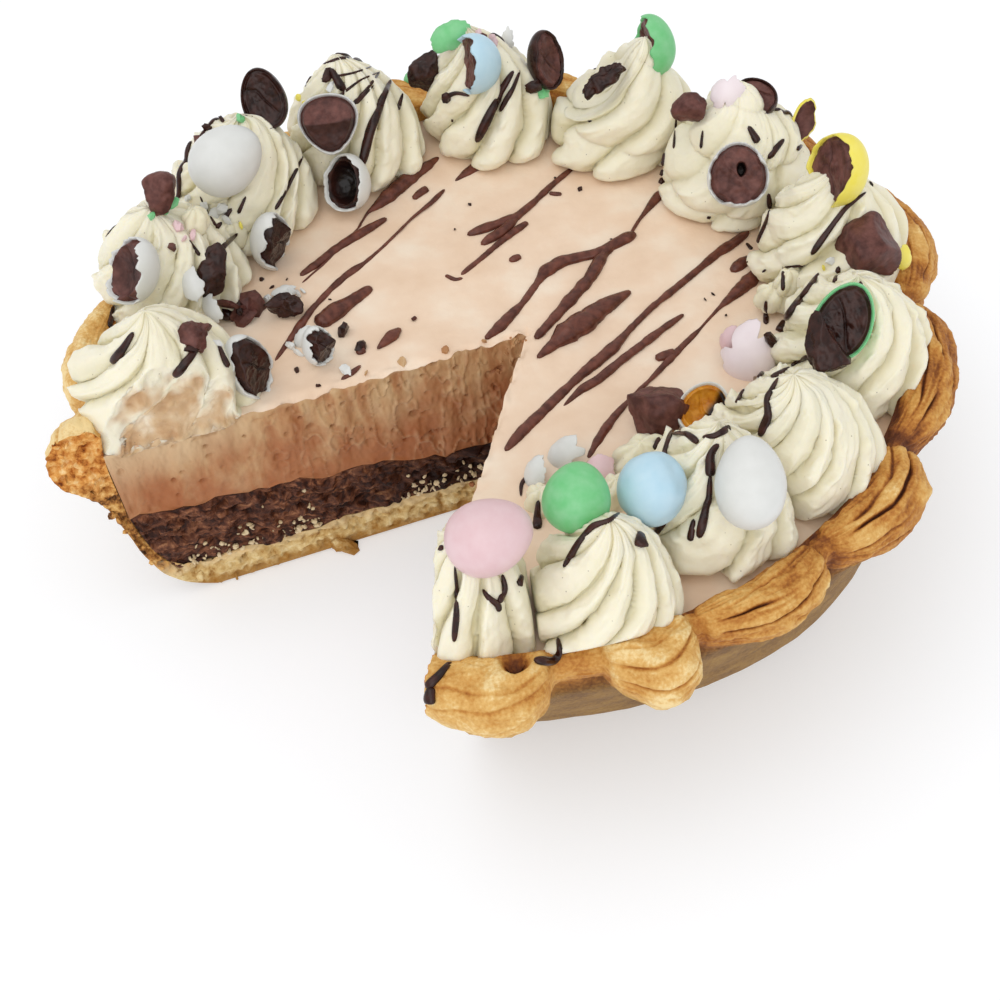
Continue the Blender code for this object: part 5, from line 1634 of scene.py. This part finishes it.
def chocolate_chunk(row, seed, look):
    """A shard of broken chocolate: along each direction the reach is that of the nearest of a
    dozen flat breaks, blended a little at their edges, then stretched to the shard's size and
    narrowed towards one end."""
    draw = np.random.default_rng(seed)
    sides = look.get("sides", 12)
    breaks = unit(draw.normal(size=(sides, 3)))
    depth = draw.uniform(0.6, 1.0, sides)
    turn = full_turn(CHUNK_POINTS[0])
    dip = np.linspace(0.0, np.pi, CHUNK_POINTS[1])[:, None]
    x, z, y = sphere(dip, turn)
    heading = np.stack((x, y, z), -1)
    facing = np.maximum(heading @ breaks.T, 0.02)
    blend = 24.0 * look.get("crisp", 1.0)
    reach = -np.log(np.exp(-blend * np.minimum(depth / facing, 2.0)).sum(-1)) / blend
    reach = np.minimum(reach, 1.15)
    points = heading * reach[..., None] * np.array((row.wide, row.long, row.wide * 0.78)) * 0.56
    points[..., ::2] *= 1.0 - look.get("point", 0.0) * points[..., 1:2] / row.long * 2.0
    rough = layered(points, CHUNK_LUMPS, seed)
    points = points + heading * (look.get("rough", 1.7) * rough)[..., None]
    return [Patch(put(row, points), wrap=True)]


def crumb_lumps(spots, normals, size, seed):
    """Small crumbs where rays came down: each a rough ball of a few flats, stretched and turned
    at random, its middle just off the surface."""
    draw = np.random.default_rng(seed)
    around, rows = CRUMB_POINTS
    ball = np.stack(sphere(np.linspace(0.0, np.pi, rows)[:, None], full_turn(around)), -1)
    patches = []
    for spot, normal in zip(spots, normals):
        stretch = draw.uniform(0.3, 1.5, 3)
        axes = np.linalg.qr(draw.normal(size=(3, 3)))[0]
        rough = np.ones((rows, around))
        rough[1:-1] += draw.uniform(-0.3, 0.25, (rows - 2, around))
        lump = (ball * rough[..., None] * stretch) @ axes * (0.5 * size * draw.uniform(0.7, 1.2))
        lump = lump + spot + normal * size * 0.22
        lump[..., 2] = np.maximum(lump[..., 2], 0.1)
        patches.append(Patch(lump, wrap=True))
    return patches


def face_spots(count, seed):
    """Random places on both cut faces for crumbs of pastry: along the lower edge of the fudge,
    more of them near the tip and near the wall."""
    draw = np.random.default_rng(seed)
    spots, normals = [], []
    for azimuth, normal in FACES:
        reach = draw.choice((0.0, 1.0), count) * 62.0 + draw.uniform(4.0, 42.0, count)
        height = FLOOR_TOP + 1.0 + draw.exponential(4.0, count)
        place = polar(azimuth, reach, height) + (*SLICE_POINT, 0.0) + normal * 0.3
        within = 97.0 * (1.0 - draw_in(azimuth, height))
        keep = (height < fudge_height(place) - 1.0) & (np.linalg.norm(place[:, :2], axis=-1) < within)
        spots.append(place[keep])
        normals.append(np.tile(normal, (keep.sum(), 1)))
    return bent(np.concatenate(spots)), np.concatenate(normals)


def sugar_shell(name, colour):
    """Panned sugar shell of a candy egg: matt, pastel, faintly mottled where the colour took."""
    material, tree, shader, place = new_material(
        "sugar_shell_" + name, 0.42, 1.5, Subsurface_Weight=0.10,
        Subsurface_Radius=(0.0015, 0.0015, 0.0015), Subsurface_Scale=1.0)
    mottle = add(tree, "ShaderNodeTexNoise",
                 {"Vector": place, "Scale": per_metre(3.4), "Detail": 3.0}).outputs["Fac"]
    pale = tuple(1.0 - 0.90 * (1.0 - c) for c in colour)
    spread = add(tree, "ShaderNodeMapRange",
                 {"Value": mottle, "From Min": 0.3, "From Max": 0.7}).outputs[0]
    mixed = add(tree, "ShaderNodeMix", {"Factor": spread, "A": (*colour, 1.0), "B": (*pale, 1.0)},
                data_type="RGBA")
    dress(tree, shader, mixed.outputs["Result"], mottle, 0.2, 0.12)
    return material


def broken_chocolate(name, dark, light, roughness, deep="#140a08"):
    """Milk or plain chocolate broken across: smooth, faintly streaked, and dark where hollowed, pierced or
    cracked, which is painted shade.
    """
    material, tree, shader, place = new_material(name, roughness, 1.48, Specular_IOR_Level=0.3)
    cloud = add(tree, "ShaderNodeTexNoise",
                {"Vector": place, "Scale": per_metre(3.0), "Detail": 5.0, "Roughness": 0.6}).outputs["Fac"]
    colour = add(tree, "ShaderNodeValToRGB", {"Fac": cloud}, ((0.35, dark), (0.68, light))).outputs["Color"]
    tone = add(tree, "ShaderNodeAttribute", attribute_name="tone").outputs["Fac"]
    # The tone mixes in the deep colour: painted shade in hollows, holes and cracks
    mixed = add(tree, "ShaderNodeMix", {"Factor": tone, "A": colour, "B": deep},
                data_type="RGBA")
    dress(tree, shader, mixed.outputs["Result"], cloud, 0.45, 0.3)
    return material


# Settings

def colour_property(name, hex_colour, description):
    """A colour of the panel, given as sRGB hex."""
    return FloatVectorProperty(name=name, description=description, subtype="COLOR", size=3,
                               min=0.0, max=1.0, default=linear(hex_colour))


class PastrySettings(bpy.types.PropertyGroup):
    """How deep the relief of the pastry is"""
    relief: FloatProperty(name="Relief", description="Depth of the blisters and cracks of the pastry",
                          default=1.0, min=0.0, max=1.5, subtype="FACTOR")


class CreamSettings(bpy.types.PropertyGroup):
    """How the cream is grooved and coloured"""
    groove: FloatProperty(name="Groove depth", description="Depth of the grooves between the ridges",
                          default=1.35, min=0.0, max=2.0, subtype="FACTOR")
    cream: colour_property("Cream", "#f2ecd9", "Colour of the whipped cream")


class DrizzleSettings(bpy.types.PropertyGroup):
    """How wide the strands of chocolate are"""
    width_scale: FloatProperty(name="Width", description="Width of the chocolate strands",
                               default=1.0, min=0.3, max=2.0, subtype="FACTOR")


class CandySettings(bpy.types.PropertyGroup):
    """How thick the sugar shells are and how they are coloured"""
    wall: FloatProperty(name="Shell", description="Thickness of the sugar shell",
                        default=0.0008, min=0.0003, max=0.002, unit="LENGTH")
    pink: colour_property("Pink", "#dcbabe", "Colour of the pink shells")
    green: colour_property("Green", "#69c17b", "Colour of the green shells")
    blue: colour_property("Blue", "#b2d3e3", "Colour of the blue shells")
    blush: colour_property("Blush", "#e9dbdf", "Colour of the palest pink shells")
    white: colour_property("White", "#d6d7d4", "Colour of the white shells")
    yellow: colour_property("Yellow", "#ecdc4c", "Colour of the yellow shells")


class StageSettings(bpy.types.PropertyGroup):
    """The floor and the lights"""
    floor: colour_property("Floor", "#cfd1d4", "Colour of the floor")
    key: FloatProperty(name="Key light", description="Strength of the broad soft light from above",
                       default=0.5, min=0.0, max=100.0)
    fill: FloatProperty(name="Fill light", description="Strength of the broad soft light from the front",
                        default=0.62, min=0.0, max=100.0)
    spread: FloatProperty(name="Spread", description="How broad the soft light is",
                          default=0.9, min=0.0, max=3.1, subtype="ANGLE")
    ambient: FloatProperty(name="Ambient", description="Strength of the light from all round",
                           default=0.82, min=0.0, max=5.0)


# Operators

class PIE_OT_pastry(bpy.types.Operator):
    """Build the pastry case"""
    bl_idname = "pie.pastry"
    bl_label = "Pastry case"

    def execute(self, context):
        settings = context.scene.pie_pastry
        new_piece("pastry_case", bent_patches(pastry_case(settings)), (baked_pastry(), pastry_crumb()),
                  ("crust",))
        return {"FINISHED"}


class PIE_OT_fudge(bpy.types.Operator):
    """Build the fudge layer"""
    bl_idname = "pie.fudge"
    bl_label = "Fudge layer"

    def execute(self, context):
        new_piece("fudge_filling", bent_patches(fudge_filling()), (dark_fudge(),),
                  ("fudge_layer",))
        return {"FINISHED"}


class PIE_OT_mousse(bpy.types.Operator):
    """Build the mousse and its chocolate streaks"""
    bl_idname = "pie.mousse"
    bl_label = "Mousse layer"

    def execute(self, context):
        new_piece("mousse_filling", bent_patches(mousse_filling()), (chocolate_mousse(), sliced_mousse()),
                  ("mousse_layer",))
        chocolate = melted_chocolate("drizzled_milk_chocolate", "#4d261c", "#724032", 0.25)
        new_piece("mousse_streaks", mousse_streaks(context.scene.pie_drizzle), (chocolate,), ())
        return {"FINISHED"}


class PIE_OT_cream(bpy.types.Operator):
    """Pipe the cream swirls"""
    bl_idname = "pie.cream"
    bl_label = "Cream swirls"

    def execute(self, context):
        settings = context.scene.pie_cream
        cream = whipped_cream(settings)
        for index in range(len(SWIRLS)):
            number = "%02d" % (index + 1)
            new_piece("piped_cream_" + number, bent_patches(piped_swirl(index, settings)), (cream,),
                      ("cream_swirl_" + number,))
        trees = carriers("piped_cream", "mousse_filling")
        for seed, (u, v, *shape) in enumerate(DABS):
            hit = first_hits(trees, *picture_rays(((u, v),)))[0]
            if hit is None:
                raise RuntimeError("a dab of cream meets nothing")
            new_piece("cream_dab_%02d" % (seed + 1), cream_dab(hit[0], *shape, seed), (cream,))
        return {"FINISHED"}


class PIE_OT_drizzle(bpy.types.Operator):
    """Drizzle chocolate over the cream"""
    bl_idname = "pie.drizzle"
    bl_label = "Chocolate drizzle"

    def execute(self, context):
        patches = drizzle_lines(context.scene.pie_drizzle)
        if not patches:
            raise RuntimeError("no drizzle line meets the cream")
        chocolate = melted_chocolate("drizzled_dark_chocolate", "#210d08", "#3e1b13", 0.24)
        new_piece("cream_drizzle", patches, (chocolate,), ())
        return {"FINISHED"}


class PIE_OT_candy(bpy.types.Operator):
    """Set the whole and broken candy eggs on the cream"""
    bl_idname = "pie.candy"
    bl_label = "Candy eggs"

    def execute(self, context):
        settings = context.scene.pie_candy
        wall = settings.wall / MM
        shells = {name: sugar_shell(name, tuple(getattr(settings, name)))
                  for name in ("pink", "green", "blue", "white", "yellow", "blush")}
        inside = {
            "milk": broken_chocolate("milk_chocolate_broken", "#46241f", "#70463f", 0.45, "#1d0f0b"),
            "plain": broken_chocolate("plain_chocolate_broken", "#210f0b", "#40221b", 0.26, "#100706"),
            "amber": broken_chocolate("set_caramel", "#b86a12", "#dd9a33", 0.12, "#1f0e08"),
        }
        shells["chocolate"] = inside["plain"]
        for seed, row in enumerate(TOPPINGS):
            look = LOOKS.get(row.name, {})
            row = row._replace(**{key: value for key, value in look.items() if key in row._fields})
            chocolate = inside[look.get("chocolate", "plain" if row.kind == "chunk" else "milk")]
            if row.kind == "whole":
                patches, finishes = whole_egg(row, seed, look), (shells[row.colour],)
            elif row.kind == "half":
                patches, finishes = half_egg(row, seed, wall, look), (shells[row.colour], chocolate)
            elif row.kind == "shell":
                patches, finishes = shell_piece(row, seed, wall, look), (shells[row.colour], chocolate)
            else:
                patches, finishes = chocolate_chunk(row, seed, look), (chocolate,)
            new_piece("candy_" + row.name, patches, finishes, (row.name,))
        return {"FINISHED"}


class PIE_OT_crumbs(bpy.types.Operator):
    """Scatter scraps of shell, crumbs of chocolate and crumbs of pastry"""
    bl_idname = "pie.crumbs"
    bl_label = "Crumbs and scraps"

    def execute(self, context):
        wall = context.scene.pie_candy.wall / MM
        trees = carriers(*CARRIERS)
        finish = {name: bpy.data.materials["sugar_shell_" + name]
                  for name in ("pink", "green", "white", "yellow")}
        finish["crumb"] = sugar_shell("crumb", linear("#d3bb90"))
        finish["mousse"] = bpy.data.materials["sliced_chocolate_mousse"]
        finish["crust"] = bpy.data.materials["shortcrust_crumb"]
        finish["dark"] = bpy.data.materials["plain_chocolate_broken"]
        finish["milk"] = bpy.data.materials["milk_chocolate_broken"]
        for seed, row in enumerate(CRUMBS):
            hits = [hit for hit in first_hits(trees, *picture_rays(row.spots)) if hit]
            if not hits:
                raise RuntimeError("crumbs of %s meet nothing" % row.kind)
            spots, normals = zip(*(hit[:2] for hit in hits))
            new_piece("crumbs_%02d_%s" % (seed + 1, row.kind),
                      crumb_lumps(spots, normals, row.size, seed), (finish[row.kind],), smooth=False)
        for seed, (u, v, facing, tilt, spin, long, wide, colour) in enumerate(SCRAPS):
            lower = np.arange(v, v + SCRAP_SEARCH, SCRAP_STEP)
            places = np.stack((np.full_like(lower, u), lower), -1)
            hits = first_hits(trees, *picture_rays(places))
            hit = next((hit for hit in hits if hit), None)
            if hit is None:
                raise RuntimeError("a scrap of shell meets nothing")
            spot = hit[0] + 0.35 * wide * hit[1]
            row = Topping("", "shell", *spot, facing, tilt, spin, long, wide, colour)
            new_piece("scrap_%02d_%s" % (seed + 1, colour),
                      shell_piece(row, seed + 50, wall, {"ragged": 0.36}),
                      (finish[colour], finish["dark"]))
        spots, normals = face_spots(FACE_CRUMBS, 3)
        new_piece("pastry_crumbs", crumb_lumps(spots, normals, FACE_CRUMB_SIZE, 9), (finish["crumb"],),
                  smooth=False)
        return {"FINISHED"}


class PIE_OT_stage(bpy.types.Operator):
    """Lay the floor, hang the lights and set the camera"""
    bl_idname = "pie.stage"
    bl_label = "Stage"

    def execute(self, context):
        settings = context.scene.pie_stage
        scene = context.scene
        reach = np.linspace(-FLOOR_REACH, FLOOR_REACH, FLOOR_CELLS + 1) / MM
        x, y = np.meshgrid(reach, reach)
        mesh = bpy.data.meshes.new("floor")
        cells = np.arange(FLOOR_CELLS ** 2)
        near = cells + cells // FLOOR_CELLS
        far = near + FLOOR_CELLS + 1
        corners = np.stack((x, y, np.full_like(x, -FLOOR_DROP)), -1).reshape(-1, 3) * MM
        mesh.from_pydata(corners, [], np.stack((near, near + 1, far + 1, far), -1))
        floor = bpy.data.objects.new("floor", mesh)
        scene.collection.objects.link(floor)
        material, tree, shader, place = new_material("backlit_acrylic_floor", 0.9)
        shader.inputs["Emission Color"].default_value = (1.0, 1.0, 1.0, 1.0)
        shader.inputs["Emission Strength"].default_value = FLOOR_GLOW
        grain = add(tree, "ShaderNodeTexNoise",
                    {"Vector": place, "Scale": per_metre(FLOOR_GRAIN)}).outputs["Fac"]
        mixed = add(tree, "ShaderNodeMix", {
            "Factor": grain, "A": (*settings.floor, 1.0), "B": "#d3d5d8"}, data_type="RGBA")
        tree.links.new(mixed.outputs["Result"], shader.inputs["Base Color"])
        mesh.materials.append(material)
        world = bpy.data.worlds.new("studio")
        world.use_nodes = True
        world.node_tree.nodes["Background"].inputs["Color"].default_value = (1.0, 1.0, 1.0, 1.0)
        world.node_tree.nodes["Background"].inputs["Strength"].default_value = settings.ambient
        scene.world = world
        for name, energy, heading in (("key", settings.key, KEY_HEADING),
                                      ("fill", settings.fill, FILL_HEADING)):
            light = bpy.data.lights.new(name, "SUN")
            light.energy, light.angle = energy, settings.spread
            lamp = bpy.data.objects.new(name, light)
            lamp.rotation_euler = Vector(heading).to_track_quat("-Z", "Y").to_euler()
            scene.collection.objects.link(lamp)
        eye, right, up, forward = camera_axes()
        lens = bpy.data.cameras.new("camera")
        lens.sensor_fit, lens.sensor_width = "HORIZONTAL", SENSOR_WIDTH
        lens.lens = CAMERA_FOCAL / PICTURE_WIDTH * lens.sensor_width
        lens.clip_end = FARTHEST_SEEN
        camera = bpy.data.objects.new("camera", lens)
        pose = Matrix.Identity(4)
        for column, axis in enumerate((right, up, -forward, eye * MM)):
            for line in range(3):
                pose[line][column] = axis[line]
        camera.matrix_world = pose
        scene.collection.objects.link(camera)
        scene.camera = camera
        scene.view_settings.view_transform = "Standard"
        return {"FINISHED"}


OPERATORS = (PIE_OT_pastry, PIE_OT_fudge, PIE_OT_mousse, PIE_OT_cream, PIE_OT_drizzle, PIE_OT_candy,
             PIE_OT_crumbs, PIE_OT_stage)
SETTINGS = {
    "pie_pastry": PastrySettings, "pie_cream": CreamSettings, "pie_drizzle": DrizzleSettings,
    "pie_candy": CandySettings, "pie_stage": StageSettings,
}


class PIE_PT_panel(bpy.types.Panel):
    """Lists the pieces of the pie and their settings"""
    bl_idname = "PIE_PT_panel"
    bl_label = "Chocolate cream pie"
    bl_space_type = "VIEW_3D"
    bl_region_type = "UI"
    bl_category = "Pie"

    def draw(self, context):
        for name, group in SETTINGS.items():
            box = self.layout.box()
            for field in group.__annotations__:
                box.prop(getattr(context.scene, name), field)
        for operator in OPERATORS:
            self.layout.operator(operator.bl_idname)


CLASSES = (*SETTINGS.values(), *OPERATORS, PIE_PT_panel)


def register():
    """Registers the classes and gives every scene its settings."""
    for item in CLASSES:
        bpy.utils.register_class(item)
    for name, group in SETTINGS.items():
        setattr(bpy.types.Scene, name, PointerProperty(type=group))


def unregister():
    """Takes the settings and the classes out again."""
    for name in SETTINGS:
        delattr(bpy.types.Scene, name)
    for item in reversed(CLASSES):
        bpy.utils.unregister_class(item)


def main():
    """Builds every piece."""
    register()
    for operator in OPERATORS:
        getattr(bpy.ops.pie, operator.bl_idname.split(".")[1])()


if __name__ == "__main__":
    main()
